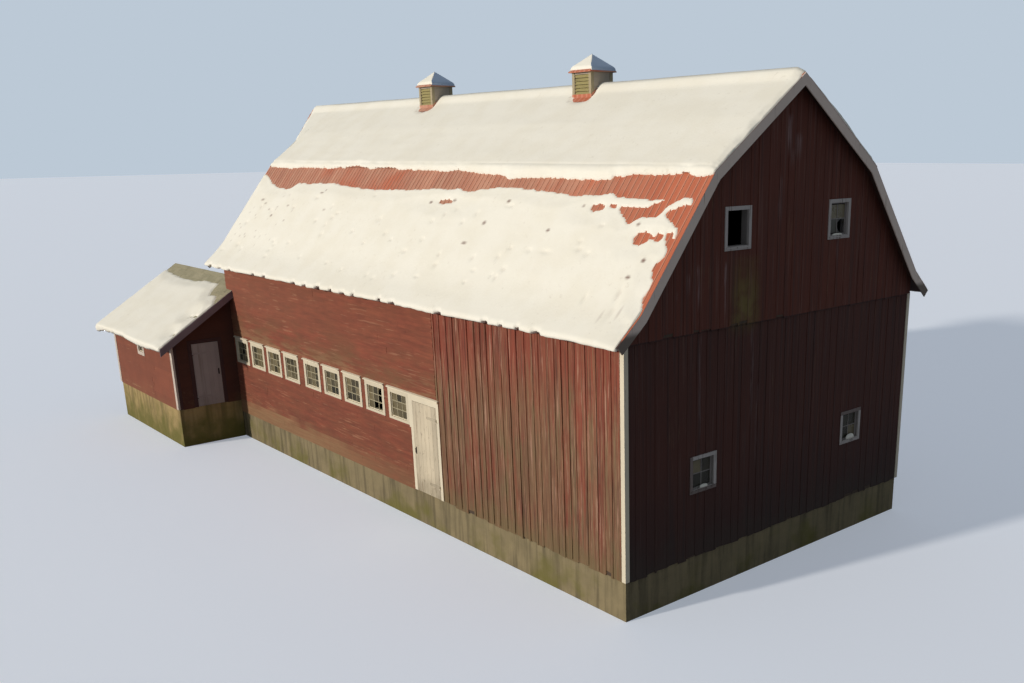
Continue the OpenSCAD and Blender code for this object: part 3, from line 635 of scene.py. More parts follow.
def framed_hole(place, sill, size, trim):
    """A window's hole and the frame round it, which the wall's boards stop at."""
    half = size[0] / 2 + trim
    return (place - half, place + half, sill - trim, sill + size[1] + trim)


window_holes = [framed_hole(y, side_sill, side_hole, trim_width) for y in window_ys]


def siding_marks(place, colour, bare):
    """Faded towards the far eave, brown with dust over the windows, and worn bare at the foot,
    course by course."""
    _, along, height = axes(place)
    weave = noisy(place, 1.0, 4.0, 0.65, (1, 1.3, 13))
    colour = scaled(colour, (weave - 0.5) * 1.1 + spread(height, 1.5, 3.0, 0.88, 1.0))
    far = spread(along, -4.0, 4.0) * spread(height, 3.6, 4.6)
    colour = mix(far * 0.25, colour, paint(146, 92, 66))
    clouds = spread(noisy(place, 0.9, 5.0, 0.65, (1, 0.5, 2.2)), 0.35, 0.65)
    band = spread(height, 4.4, 3.6) * spread(height, 3.0, 3.4)
    colour = mix((band * 0.5 + 0.18) * clouds, colour, paint(112, 80, 50))
    over_heads = spread(height, 3.8, 3.4) * (height > 3.2)
    rubbed = spread(noisy(place, 1.0, 4.0, 0.6, (1, 0.9, 9)), 0.46, 0.6)
    colour = mix(over_heads * rubbed * 0.38, colour, paint(154, 122, 86))
    dashes = spread(noisy(place, 1.0, stretch=(1, 1.2, 22)), 0.59, 0.68)
    chips = spread(noisy(place, 0.8, 2.0), 0.42, 0.6)
    colour = mix(dashes * chips * 0.42, colour, paint(172, 124, 94))
    course = calc("FLOOR", (height - (sill_z - 0.02)) / lap_step)
    on_course = add(place.tree, "CombineXYZ", {0: along * 0.9, 1: course * 3.7})
    worn = spread(noisy(Wire(on_course), 1.0) * -4.5 + course, 1.1, -0.9)
    bare_foot = worn * spread(along, -3.5, 1.0, 0.2, 0.8)
    fibres = spread(noisy(place, 1.0, stretch=(1, 1.5, 60)), 0.35, 0.65, 0.6, 1.0)
    return mix(bare_foot * fibres, colour, paint(150, 118, 82))


lap_red = board_finish("red_lap_siding", paint(128, 65, 44), paint(158, 112, 80), 0.08, level_y,
                       foot_wear=(0.06, 1.0, 2.2), foot_grime=0.3,
                       grime_tint=paint(116, 88, 58), sharp=0.12, swing=0.2,
                       own=0.13, marks=siding_marks)
for name, face, holes, seed in (("left_siding", on_left, window_holes + [door_hole], 21),
                                ("right_siding", on_right, window_holes, 22)):
    work = Joinery()
    lap_boards(work, face, siding_y, back - 0.001, sill_z - 0.02, eave_height, level(eave_height),
               upright_sides, holes, random.Random(seed))
    work.piece(name, lap_red, "lap_siding")


# Gables
# Upright boards and thin battens in two tiers: the upper one is furred out and laps over the
# lower one at eaves height. Their coat is a darker red than the long walls', partly a darker
# paint and partly painted shade, and rain has run down it in pale streaks.
seam_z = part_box("front_gable_upper")[0].z
upper_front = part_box("front_gable_upper")[0].y
upper_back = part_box("back_gable_upper")[1].y
gable_boards = (0.28, 0.009, 0.045, 0.016, 0.006)


def gable_top(x):
    return roof_height(abs(x - middle) + 0.01) - roof_depth


def end_face(y, outward):
    """A wall that looks along Y: takes a place across it, a height, and a distance out."""
    return lambda x, z, out: (x, y + outward * out, z)


# Each tier's windows: how far from the middle, the sill's height, and the hole's height
gable_width = 0.65
gable_trim = 0.055
upper_tier, lower_tier = (1.615, 6.95, 0.715), (2.47, 2.25, 0.66)
upper_lights, lower_lights = [
    [framed_hole(middle + side * shift, sill, (gable_width, height), gable_trim)
     for side in (-1, 1)] for shift, sill, height in (upper_tier, lower_tier)]
hay_low, hay_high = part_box("hay_door")
hay_hole = (hay_low.x, hay_high.x, hay_low.z, hay_high.z)
# Rain marks on the front gable: where across, from and up to what height, how wide, how strong
rain_marks = [(0.84, 8.55, 9.45, 0.10, 0.7), (1.14, 8.45, 9.1, 0.15, 0.65),
              (0.98, 8.3, 8.8, 0.13, 0.45), (0.62, 7.2, 8.3, 0.09, 0.3),
              (-2.30, 5.95, 6.3, 0.05, 0.4), (-1.98, 6.05, 6.6, 0.07, 0.6),
              (-1.70, 5.75, 6.75, 0.05, 0.55), (-0.95, 5.55, 6.75, 0.045, 0.6),
              (-0.22, 6.1, 6.5, 0.05, 0.35), (-1.60, 3.2, 5.42, 0.045, 0.5),
              (-0.08, 3.3, 5.44, 0.05, 0.5), (0.12, 2.2, 4.2, 0.05, 0.3),
              (1.95, 4.4, 5.46, 0.04, 0.3), (2.6, 6.2, 7.0, 0.05, 0.3)]

# A drip is one such mark: soft at its sides, and fading out as it runs down
drip, takes, end = effect(
    "drip", {"Across": 0.0, "Height": 0.0, "At": 0.0, "Low": 0.0, "High": 1.0, "Half": 0.05},
    "Mask")
beside = spread(abs(takes["Across"] - takes["At"]), takes["Half"], takes["Half"] * 0.3)
from_top = spread(takes["Height"], takes["High"], takes["High"] - 0.2)
to_foot = spread(takes["Height"], takes["Low"], takes["Low"] + 0.5)
fill(end, {"Mask": beside * from_top * to_foot})


def gable_marks(place, colour, bare):
    """The rain marks and a green stain, on the front gable alone. On both gables, light and dark
    streaks, a darker lower tier and foot, and a line of painted shadow under the upper tier's lap.
    """
    x, y, height = axes(place)
    on_front = y < 0.0
    across = noisy(place, 1.0, 2.0, stretch=(2.0, 1, 1.4)) * 0.12 + (x - 0.06)
    threads = spread(noisy(place, 1.0, 4.0, stretch=(34, 1, 1.6)), 0.36, 0.56)
    wet = on_front * threads
    for at, low, high, half, strong in rain_marks:
        mark = use(drip, Across=across, Height=height, At=at, Low=low, High=high, Half=half)
        colour = mix(mark["Mask"] * wet * strong, colour, paint(146, 120, 116))
    stain = use(drip, Across=across, Height=height, At=-0.36, Low=5.1, High=6.85, Half=0.55)
    low_stain = stain["Mask"] * spread(height, 6.8, 5.7, 0.15, 0.8) * on_front
    clouds = spread(noisy(place, 0.35), 0.3, 0.6, 0.3, 1.0)
    colour = mix(low_stain * clouds, colour, paint(116, 102, 50))
    streaky = spread(noisy(place, 1.0, 4.0, stretch=(22, 22, 0.5)), 0.52, 0.68)
    colour = mix(streaky * 0.3, colour, paint(124, 92, 82))
    darker = spread(noisy(place, 1.0, stretch=(13, 13, 0.25)), 0.5, 0.36)
    colour = mix(darker * 0.5, colour, paint(54, 29, 22))
    low_tier = spread(height, seam_z, seam_z - 0.02, 1.0, 0.58)
    to_foot = spread(height, sill_z + 2.6, sill_z, 1.0, 0.48)
    # A painted shadow under the upper tier's lap, just below the seam
    seam_shadow = spread(abs(height - (seam_z - 0.03)), 0.025, 0.01, 1.0, 0.7)
    return scaled(colour, low_tier * to_foot * seam_shadow)


# The dark red coat is partly painted shade
gable_red = board_finish("dark_red_gable_boards", paint(86, 37, 20), paint(114, 84, 62), 0.06,
                         upright, foot_wear=(0.0, 1.0, 2.0), foot_grime=0.45,
                         grime_tint=paint(48, 40, 30), sharp=0.25, swing=0.25, own=0.2,
                         marks=gable_marks)
for name, y_low, y_high, outward, holes_low, holes_high, seed in (
        ("front_gable_boards", front, upper_front, -1, lower_lights, upper_lights, 31),
        ("back_gable_boards", back, upper_back, 1, lower_lights[1:], upper_lights + [hay_hole],
         32)):
    work = Joinery()
    dice = random.Random(seed)
    boards_and_battens(work, end_face(y_low, outward), left + gable_corner - 0.01,
                       right - gable_corner + 0.01, sill_z, level(seam_z + 0.01), holes_low, dice,
                       gable_boards)
    boards_and_battens(work, end_face(y_high, outward), left, right, seam_z - 0.02, gable_top,
                       holes_high, dice, gable_boards)
    work.piece(name, gable_red, "gable_boards")


# Corner boards
# Planed boards nailed over the wall boards' ends at the corners, painted white. The one that
# faces the sun is still bright.
def trim_finish(name, coat, wood_tint, wear, run=upright, marks=None):
    return board_finish(name, coat, wood_tint, wear, run, sharp=0.07, patch=0.12, rough=0.7,
                        whole=True, marks=marks)


white_trim = trim_finish("white_trim", paint(226, 214, 188), paint(168, 150, 122), 0.12)
dress(white_trim, "corner_boards")


# Windows
# Small sashes of puttied panes, in white-painted frames that are nailed on over the siding.
# Sloped caps on the frames' heads throw the rain off. Some panes have been broken out.
def slab(work, face, low_a, high_a, low_z, high_z, low_out, high_out, tone=0.5, age=0.5):
    """A board or bar on a wall's face, between two places along it, two heights, two depths."""
    work.sweep([[face(a, low_z, low_out), face(a, high_z, low_out),
                 face(a, high_z, high_out), face(a, low_z, high_out)]
                for a in (low_a, high_a)], tone, age)


cap_out, cap_back, cap_front = 0.062, 0.048, 0.026


def cap_board(work, face, low_a, high_a, z):
    """A sloped board over a frame's head, thicker at its back than at its front."""
    work.sweep([[face(a, z, 0.0), face(a, z + cap_back, 0.0), face(a, z + cap_front, cap_out),
                 face(a, z, cap_out)] for a in (low_a, high_a)])


glass_rim, forward_rim = 0.065, 0.042
glass_out = -0.0545
pane_thick = 0.004
bar_half, bar_end = 0.010, 0.004
bar_back, bar_front = 0.062, 0.0455
cross_back, cross_front = 0.0615, 0.0465
rail_back, rail_front = 0.0405, 0.040


def splinters(panes, face, corners, glass_at, tone, dice):
    """What a broken pane has left in some of its corners."""
    for number, corner in enumerate(corners):
        if dice.random() < 0.55:
            after, before = corners[(number + 1) % 4], corners[number - 1]
            far, near = dice.uniform(0.3, 0.75), dice.uniform(0.15, 0.4)
            points = [corner] + [[here + (there - here) * share
                                  for here, there in zip(corner, other)]
                                 for other, share in ((after, far), (before, near))]
            panes.sweep([[face(a, z, out) for a, z in points]
                         for out in (glass_at, glass_at - pane_thick)], tone)


def sash(bars, panes, face, along, sill, size, grid, dice, gone=(), pale=(), dust=0.6,
         forward=0.0):
    """The bars of a sash, and its panes one by one, with splinters where one is gone.
    A sash that stands forward of the lining's own has rails besides."""
    columns, rows = grid
    rim = forward_rim if forward else glass_rim
    low_a, low_z = along - size[0] / 2 + rim, sill + rim
    step_a, step_z = (size[0] - 2 * rim) / columns, (size[1] - 2 * rim) / rows
    end_a, end_z = low_a + columns * step_a, low_z + rows * step_z
    glass_at = glass_out + forward
    if forward:
        rail = rim - 0.001
        for a0, a1, z0, z1 in ((low_a - rail, low_a, low_z - rail, end_z + rail),
                               (end_a, end_a + rail, low_z - rail, end_z + rail),
                               (low_a, end_a, low_z - rail, low_z),
                               (low_a, end_a, end_z, end_z + rail)):
            slab(bars, face, a0, a1, z0, z1, -rail_back, forward - rail_front)
    for column in range(1, columns):
        a = low_a + column * step_a
        slab(bars, face, a - bar_half, a + bar_half, low_z - bar_end, end_z + bar_end,
             forward - bar_back, forward - bar_front)
    for row in range(1, rows):
        z = low_z + row * step_z
        slab(bars, face, low_a - bar_end, end_a + bar_end, z - bar_half, z + bar_half,
             forward - cross_back, forward - cross_front)
    for column in range(columns):
        for row in range(rows):
            a0, z0 = low_a + column * step_a, low_z + row * step_z
            corners = [(a0, z0), (a0, z0 + step_z), (a0 + step_a, z0 + step_z), (a0 + step_a, z0)]
            tone = dice.random() * dust + (0.65 if (column, row) in pale else 0.0)
            lean_a, lean_z = [dice.uniform(-0.0012, 0.0012) for _ in range(2)]
            if (column, row) in gone:
                splinters(panes, face, corners, glass_at, tone, dice)
            else:
                panes.sweep([[face(a, z, out + lean_a * (a > a0) + lean_z * (z > z0))
                              for a, z in corners]
                             for out in (glass_at, glass_at - pane_thick)], tone)


# Old glass under a film of dust, thicker on some panes than on others
glass, tree, shader = new_finish("dirty_glass")
place = place_on(tree)
film = noisy(place, 0.3)
dust = attribute(tree, "tone")
smear = mix(dust, paint(44, 42, 32), paint(148, 134, 100))
dusty = mix(spread(film, 0.45, 0.7, 0.0, 0.5) * dust, smear, paint(150, 136, 106))
fill(shader, {"Base Color": dusty, "Roughness": spread(film, 0.3, 0.7, 0.15, 0.45),
              "Transmission Weight": 0.2, "Normal": raised(noisy(place, 0.6, 1.0), 0.002)})

# Painted shade: what lies deeper in a wall than its face is darker than what stands proud of it
recess_shade, takes, end = effect(
    "recess_shade", {"Colour": white, "Across": 0.0, "Middle": 0.0, "Reach": 1.0, "Tint": black},
    "Colour")
deep = abs(takes["Across"] - takes["Middle"]) < takes["Reach"]
fill(end, {"Colour": mix(deep, takes["Colour"], takes["Tint"])})


def window_marks(place, colour, bare):
    """The lining and the sash stand back in the wall, and are painted greyer than the boards
    outside: partly painted shade where they stand back, partly the sash's own greyer paint.
    The siding's red was brushed on over the frames' lower edges."""
    across, _, height = axes(place)
    greyed = use(recess_shade, Colour=colour, Across=across, Middle=middle,
                 Reach=right - middle - 0.0135, Tint=paint(168, 158, 128))["Colour"]
    brushed = spread(height, side_sill - 0.042, side_sill - 0.05)
    return mix(brushed, greyed, paint(134, 70, 50))


window_white = trim_finish("window_white", paint(214, 202, 176), paint(160, 142, 112), 0.14,
                           marks=window_marks)
dress(window_white, "side_window_frames")
bars, panes, caps = Joinery(), Joinery(), Joinery()
cap_z = side_sill + side_hole[1] + trim_width
cap_reach = 0.495
sash_forward = 0.030
dice = random.Random(41)
second_window = {(0, 0), (0, 1), (0, 2), (1, 0)}
for face, broken in ((on_left, second_window), (on_right, {(2, 2)})):
    for number, y in enumerate(window_ys):
        gone = broken if number == 1 else ()
        sash(bars, panes, face, y, side_sill, side_hole, (3, 3), dice, gone, dust=0.8,
             forward=sash_forward)
        if face == on_right or number > 0:
            cap_board(caps, face, y - cap_reach, y + cap_reach, cap_z)
annex_window = (9.144, 2.60, (0.46, 0.36))
annex_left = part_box("annex_side_walls")[0].x
on_annex_left = side_face(annex_left, -1)
sash(bars, panes, on_annex_left, *annex_window, (2, 1), dice, forward=sash_forward)
bars.piece("side_window_bars", window_white, "white_trim")
panes.piece("side_window_panes", glass, "dirty_glass", stands_for=["side_window_glass"])
# One cap runs on over the first window and the door, and a filler board joins their frames
cap_board(caps, on_left, door_low.y - 0.015, window_ys[0] + cap_reach, cap_z)
slab(caps, on_left, door_low.y, door_high.y, door_high.z, cap_z, 0.0, 0.0245)
slab(caps, on_left, door_high.y, window_holes[0][0], window_holes[0][2], cap_z, 0.0, 0.0245)
caps.piece("side_window_caps", white_trim, "white_trim")


def gable_window_marks(place, colour, bare):
    """Greyer where it stands back in the wall, as painted shade. On the lower windows the right
    one's head board and the left one's far and foot boards are dark."""
    across, deep, height = axes(place)
    greyed = use(recess_shade, Colour=colour, Across=deep, Middle=(front + back) / 2,
                 Reach=(back - front) / 2 - 0.006, Tint=paint(138, 130, 124))["Colour"]
    shift, sill, hole_height = lower_tier
    head = (height > sill + hole_height - 0.02) * (across > middle)
    foot = (height < sill + 0.02) * (across < middle)
    far_board = across < middle - shift - gable_width / 2 + 0.02
    dark_boards = calc("MAXIMUM", head, calc("MAXIMUM", far_board, foot)) * (height < 4.0)
    return mix(dark_boards * 0.75, greyed, paint(88, 66, 58))


grey_trim = trim_finish("grey_trim", paint(190, 181, 174), paint(112, 100, 88), 0.3,
                        marks=gable_window_marks)
dress(grey_trim, "gable_window_frames")
bars, panes, sills = Joinery(), Joinery(), Joinery()
# The upper left window of the front gable stands open, and the back has no lower left one
for y, outward, tier, sides in (
        (upper_front, -1, upper_tier, (-1, 1)), (front, -1, lower_tier, (-1, 1)),
        (upper_back, 1, upper_tier, (-1, 1)), (back, 1, lower_tier, (1,))):
    face = end_face(y, outward)
    shift, sill, height = tier
    for side in sides:
        x = middle + side * shift
        slab(sills, face, x - 0.34, x + 0.34, sill - 0.02, sill + 0.004, 0.0, 0.046)
        if y == upper_front and side == -1:
            continue
        pale = {(0, 1), (1, 1)} if tier == upper_tier else {(0, 1)} if side == -1 else {(1, 0)}
        gone = {(1, 0)} if y == upper_front else ()
        sash(bars, panes, face, x, sill, (gable_width, height), (2, 2), dice, gone, pale, 0.12)
bars.piece("gable_window_bars", grey_trim, "grey_trim")
panes.piece("gable_window_panes", glass, "dirty_glass", stands_for=["gable_window_glass"])
sills.piece("gable_window_sills", grey_trim, "grey_trim")


# Doors
# Board doors on strap hinges, painted white and knocked about. The boards are nailed to
# ledges and a brace inside, and each door has an iron latch.
def door_marks(place, colour, bare):
    """Cracks run up the boards through the paint."""
    split = use(cracks, Place=stretched(place, (9, 9, 1.1)), Width=0.012)["Mask"]
    return mix(split * 0.5, colour, paint(120, 98, 74))


door_white = board_finish("scuffed_door_paint", paint(204, 190, 164), paint(128, 104, 80), 0.1,
                          upright, foot_wear=(0.16, 0.9, 1.6), foot_grime=0.5,
                          grime_tint=paint(116, 104, 80), sharp=0.08, rough=0.65,
                          marks=door_marks)
annex_grey = board_finish("grey_annex_door", paint(162, 150, 146), paint(134, 122, 114), 0.10,
                          upright, foot_wear=(0.16, 1.3, 2.0), foot_grime=0.4,
                          grime_tint=paint(96, 88, 76), sharp=0.3, rough=0.75,
                          own=0.12)
iron, tree, shader = new_finish("old_iron")
fill(shader, {"Base Color": paint(58, 46, 40), "Roughness": 0.7, "Metallic": 0.6})
dress(white_trim, "side_door_frame")
dress(door_white, "side_door")
dress(annex_grey, "annex_door")


def side_by_side(start, stop, count, gap):
    """Where each of a door's boards starts and stops, with a gap between two."""
    return [(start + (stop - start) * number / count + gap / 2,
             start + (stop - start) * (number + 1) / count - gap / 2) for number in range(count)]


strap_reach, strap_half = 0.43, 0.029
ledge_half, ledge_thick = 0.07, 0.022
brace_high, brace_thick = 0.12, 0.020
inside = -0.020


def door_boards(name, face, hinge_a, far_a, low_z, high_z, finish, seed):
    """Face boards cut round the straps, ledges and a brace inside, and a latch."""
    dice = random.Random(seed)
    work, latch = Joinery(), Joinery()
    straps = [(hinge_a - 0.05, hinge_a + strap_reach, z - strap_half, z + strap_half)
              for z in (low_z + 0.30, high_z - 0.30)]
    for a0, a1 in side_by_side(hinge_a + 0.034, far_a - 0.003, 6, 0.005):
        tone, age = dice.random(), dice.random()
        thick = 0.029 + dice.uniform(-0.0008, 0.0008)
        for part in around(straps, a0, a1, low_z + 0.002, high_z - 0.002):
            slab(work, face, *part, 0.024, thick, tone, age)
    near_a, latch_a = hinge_a + 0.10, far_a - 0.07
    ledges = [low_z + 0.25, (low_z + high_z) / 2, high_z - 0.25]
    for z in ledges:
        slab(work, face, near_a, latch_a, z - ledge_half, z + ledge_half, inside - ledge_thick,
             inside + 0.001, dice.random(), dice.random())
    for low_end, high_end in zip(ledges, ledges[1:]):
        work.sweep([[face(a, z, inside + 0.001), face(a, z + brace_high, inside + 0.001),
                     face(a, z + brace_high, inside - brace_thick),
                     face(a, z, inside - brace_thick)]
                    for a, z in ((near_a, low_end), (latch_a, high_end - brace_high))],
                   dice.random(), dice.random())
    # The latch: a plate, the two feet of a grip, and the grip itself
    z = low_z + 1.02
    for half, low, high, low_out, high_out in (
            (0.02, z - 0.09, z + 0.09, 0.028, 0.033),
            (0.006, z - 0.055, z - 0.055 + 0.01, 0.032, 0.055),
            (0.006, z + 0.045, z + 0.045 + 0.01, 0.032, 0.055),
            (0.007, z - 0.055, z + 0.055, 0.050, 0.060)):
        slab(latch, face, latch_a - half, latch_a + half, low, high, low_out, high_out)
    work.piece(name + "_boards", finish, "door_paint", name)
    latch.piece(name + "_latch", iron, None, name)


(_, hinge_a, low_z), (_, far_a, high_z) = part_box("side_door")
door_boards("side_door", on_left, hinge_a + 0.016, far_a, low_z, high_z, door_white, 51)
annex_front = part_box("annex_front_wall")[0].y
(hinge_a, _, low_z), (far_a, _, high_z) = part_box("annex_door")
door_boards("annex_door", end_face(annex_front, -1), hinge_a + 0.016, far_a, low_z, high_z,
            annex_grey, 52)


# Timber frame
# Sawn softwood that was never painted: loft floor, joists, girder and posts, the gambrel
# frames, and the beams under the knuckles and the ridge. The tails outside are dull red.
bare_timber = timber_finish("bare_timber", paint(150, 118, 84), level_y)
dress(bare_timber, "loft_floor", "loft_joists", "loft_posts", "lower_rafters_left",
      "lower_rafters_right", "upper_rafters_left", "upper_rafters_right", "knuckle_beams",
      "ridge_beam")
red_timber = timber_finish("dull_red_timber", paint(110, 50, 42), level_x, 0.5)
dress(red_timber, "rafter_tails")


# Roof
# Ribbed steel sheets screwed down over the boards in two lengths, painted orange red and
# chalked by the sun. The upper length runs on over the lower one at the knuckle.
ways, bends = [], [0.0]
for (near_out, near_z), (far_out, far_z) in zip(roof_line, roof_line[1:]):
    length = math.hypot(far_out - near_out, far_z - near_z)
    ways.append(((far_out - near_out) / length, (far_z - near_z) / length))
    bends.append(bends[-1] + length)
eave_run = bends[3]


def on_slope(slope, side, y, run, lift):
    """A point over one of the roof's flat slopes. side is -1 on the left and 1 on the right."""
    out_way, up_way = ways[slope]
    out = roof_line[slope][0] + out_way * (run - bends[slope]) - up_way * lift
    z = roof_line[slope][1] + up_way * (run - bends[slope]) + out_way * lift
    return (middle + side * out, y, z)


def bent(slope, side, y, lift):
    """The same on the bend below a slope, where the next one begins."""
    before, after = ways[slope], ways[slope + 1]
    share = lift / (1 + before[0] * after[0] + before[1] * after[1])
    out = roof_line[slope + 1][0] - (before[1] + after[1]) * share
    z = roof_line[slope + 1][1] + (before[0] + after[0]) * share
    return (middle + side * out, y, z)


roof_front, roof_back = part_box("roof_upper_left")[0].y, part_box("roof_upper_left")[1].y
hood_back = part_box("hay_hood")[1].y
hood_run = 1.75 / ways[0][0]
sheets = 38
rib_pitch = (roof_back - roof_front) / (3 * sheets)
under_sheet, pan_top, rib_top = -0.001, 0.003, 0.018
rib_foot, rib_head = 0.020, 0.011


def hood_edge(y):
    return hood_run * (hood_back - y) / (hood_back - roof_back)


def rib_profile(start, ribs):
    """The section of a sheet: flat pans with a raised rib at the middle of each pitch."""
    points = [(start, under_sheet), (start, pan_top)]
    for number in range(ribs):
        y = start + rib_pitch * (number + 0.5)
        points += [(y - rib_foot, pan_top), (y - rib_head, rib_top), (y + rib_head, rib_top),
                   (y + rib_foot, pan_top)]
    end = start + rib_pitch * ribs
    return points + [(end, pan_top), (end, under_sheet)]


def section(slope, side, run, profile, lap=0.0):
    """A sheet's section where it crosses a slope."""
    return [on_slope(slope, side, y, run, lift + lap) for y, lift in profile]


# The paint is chalky, less so in patches and at the near end, and rusty in spots
roof_red, tree, shader = new_finish("chalked_roof_paint")
place = place_on(tree)
_, along, height = axes(place)
chalk = noisy(place, 1.0, 5.0, 0.6, (0.7, 5.0, 0.7))
colour = mix(spread(chalk, 0.35, 0.7), paint(184, 119, 90), paint(198, 146, 119))
less = calc("MAXIMUM", spread(noisy(place, 2.4), 0.5, 0.62), spread(along, -8.6, -11.4))
colour = mix(less * 0.8, colour, paint(190, 94, 56))
# The ribs are painted paler: partly chalk, partly painted highlight where a rib faces the lamp
off_rib = abs(calc("FRACT", (along - roof_front) / rib_pitch) - 0.5)
colour = mix(spread(off_rib, 0.24, 0.10, 0.0, 0.5), colour, paint(214, 156, 128))
colour = scaled(colour, attribute(tree, "tone") * 0.16 + 0.92)
rust = spread(noisy(place, 0.25, 6.0, 0.7), 0.6, 0.74, 0.0, 0.5)
colour = mix(rust, colour, paint(128, 62, 40))
# Faces that look down are a dark timber brown, partly painted shade, and the last few centimetres
# above the eave are dark as painted shade
under = calc("MAXIMUM", spread(axes(way_of(tree))[2], 0.0, -0.15), spread(height, 5.62, 5.56))
fill(shader, {"Base Color": mix(under, colour, paint(70, 46, 36)),
              "Roughness": spread(chalk, 0.3, 0.7, 0.42, 0.62),
              "Normal": raised(noisy(place, 0.35, 2.0), 0.004)})
dress(roof_red, "roof_lower_left", "roof_lower_right", "roof_upper_left", "roof_upper_right",
      "ridge_cap", "hay_hood")
cap_run = 0.151
barge_lap, knuckle_lap, lap_lift = 0.027, 0.045, 0.004
past_eave = 0.018
hood_ribs = 11
dice = random.Random(61)
for label, side in (("left", -1), ("right", 1)):
    lower, upper = Joinery(), Joinery()
    for number in range(sheets):
        profile = rib_profile(roof_front + number * 3 * rib_pitch, 3)
        if number == 0:
            # The first sheet laps over the bargeboards' top edges
            profile = [(y - barge_lap, lift) for y, lift in profile[:2]] + profile[2:]
        lower.sweep([section(1, side, bends[1] + 0.002, profile),
                     [bent(1, side, y, lift) for y, lift in profile],
                     section(2, side, eave_run + past_eave, profile)], dice.random())
        upper.sweep([section(0, side, cap_run, profile),
                     section(0, side, bends[1] + knuckle_lap, profile, lap_lift)],
                    dice.random())
    # Over the hay hood each sheet is one rib wide, and cut to the hood's slanting edge
    for number in range(hood_ribs):
        profile = rib_profile(roof_back + number * rib_pitch, 1)
        tone = dice.random()
        if hood_edge(profile[-1][0]) > cap_run + 0.05:
            upper.sweep([section(0, side, cap_run, profile),
                         [on_slope(0, side, y, hood_edge(y) + 0.01, lift)
                          for y, lift in profile]], tone)
    lower.piece("roof_sheets_lower_" + label, roof_red, "roof_metal")
    upper.piece("roof_sheets_upper_" + label, roof_red, "roof_metal")


# Bargeboards
# Planed boards along the roof's edges, mitred at each bend, once white and now grey. Their
# lowest ends are darker.
def barge_marks(place, colour, bare):
    return mix(spread(axes(place)[2], 5.74, 5.60), colour, paint(120, 106, 94))


barge_grey = trim_finish("barge_grey", paint(232, 212, 196), paint(146, 128, 106), 0.2,
                         marks=barge_marks)
dress(barge_grey, "bargeboards")


# Cupolas
# Square ventilators of boards with cream corner boards and sloping slats, set astride the
# ridge. Their feet are flashed with roof metal, and each has a steel pyramid for a lid.
cupola_grey = trim_finish("cupola_boards", paint(178, 165, 148), paint(132, 114, 92), 0.16)
cupola_cream = trim_finish("cupola_trim", paint(168, 154, 122), paint(126, 110, 82), 0.16)
slat_green = trim_finish("cupola_slats", paint(158, 146, 94), paint(108, 98, 62), 0.22, level_y)
dress(cupola_grey, "cupola_bodies")
dress(slat_green, "cupola_louvers")
dress(roof_red, "cupola_roofs")
cupola_half = 0.33
cupola_ys = (front + 6.014, front + 12.864)
cupola_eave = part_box("cupola_bodies")[1].z
post_width, post_out = 0.075, 0.012
flash_out, flash_thick, flash_high = 0.013, 0.004, 0.10
apron_width, apron_half, apron_low, apron_top = 0.17, 0.36, 0.002, 0.026
posts, flashing = Joinery(), Joinery()
for spot in cupola_ys:
    foot = roof_height(cupola_half) - 0.01
    for side_x in (-1, 1):
        for side_y in (-1, 1):
            x, y = middle + side_x * cupola_half, spot + side_y * cupola_half
            posts.box((x + side_x * post_out, y + side_y * post_out, foot),
                      (x - side_x * post_width, y - side_y * post_width, cupola_eave))
    out = cupola_half + flash_out
    foot, run = roof_height(out), out / ways[0][0]
    for side in (-1, 1):
        # An upright sheet beside the body, and an apron that lies on the roof at its foot
        x = middle + side * out
        flashing.box((x, spot - out - flash_thick, foot - 0.01),
                     (x + side * flash_thick, spot + out + flash_thick, foot + flash_high))
        low_run = run + apron_width
        flashing.sweep([[on_slope(0, side, y, *corner) for corner in
                         ((run, apron_low), (low_run, apron_low), (low_run, apron_top),
                          (run, apron_top))]
                        for y in (spot - apron_half, spot + apron_half)])
        # Across the ridge the sheet follows both slopes
        low_y, high_y = sorted((spot + side * out, spot + side * (out + flash_thick)))
        for half in (-1, 1):
            flashing.sweep([[(middle + half * reach, y, roof_height(reach) + rise) for y, rise in
                             ((low_y, -0.005), (high_y, -0.005), (high_y, flash_high),
                              (low_y, flash_high))] for reach in (0.0, out)])
posts.piece("cupola_corner_boards", cupola_cream, "white_trim")
flashing.piece("cupola_flashing", roof_red, "roof_metal")


# Hay hood and hay door
# The roof's peak runs on past the back gable to shelter the loft door, which is boarded like
# the gable and held by three ledges.
hay_face = end_face(upper_back, 1)
hay_work = Joinery()
dice = random.Random(71)
hay_half, hay_inset, hay_thick = 0.68, 0.18, 0.008
hay_ledges, hay_ledge_half = (7.36, 8.06, 8.76), 0.06
hay_left, hay_right = middle - hay_half, middle + hay_half
for a0, a1 in side_by_side(hay_left, hay_right, 6, 0.004):
    slab(hay_work, hay_face, a0, a1, hay_low.z + hay_inset, hay_high.z - hay_inset, 0.0,
         hay_thick, dice.random(), dice.random())
for z in hay_ledges:
    slab(hay_work, hay_face, hay_left, hay_right, z - hay_ledge_half, z + hay_ledge_half,
         hay_thick - 0.001, 0.024, dice.random(), dice.random())
dress(gable_red, "hay_door")
hay_work.piece("hay_door_boards", gable_red, "gable_boards")


# Annex
# A low gabled shed, sided like the barn's far wall, on its mossy concrete base. Asphalt
# shingles that have gone grey green cover its roof.
annex_ridge_x = middle - 4.10
annex_ridge_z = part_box("annex_roof")[1].z
annex_pitch = math.radians(32.9)
annex_fall = math.tan(annex_pitch)
annex_roof_depth = 0.078
annex_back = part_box("annex_back_wall")[1].y
annex_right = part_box("annex_side_walls")[1].x
annex_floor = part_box("annex_base")[1].z
annex_roof_low, annex_roof_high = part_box("annex_roof")


def annex_front_shade(place, colour, bare):
    """The front is painted darker than the other walls: painted shade, as it faces away from the
    lamp.
    """
    return scaled(colour, spread(axes(place)[1], annex_front - 0.001, annex_front, 0.36, 1.0))


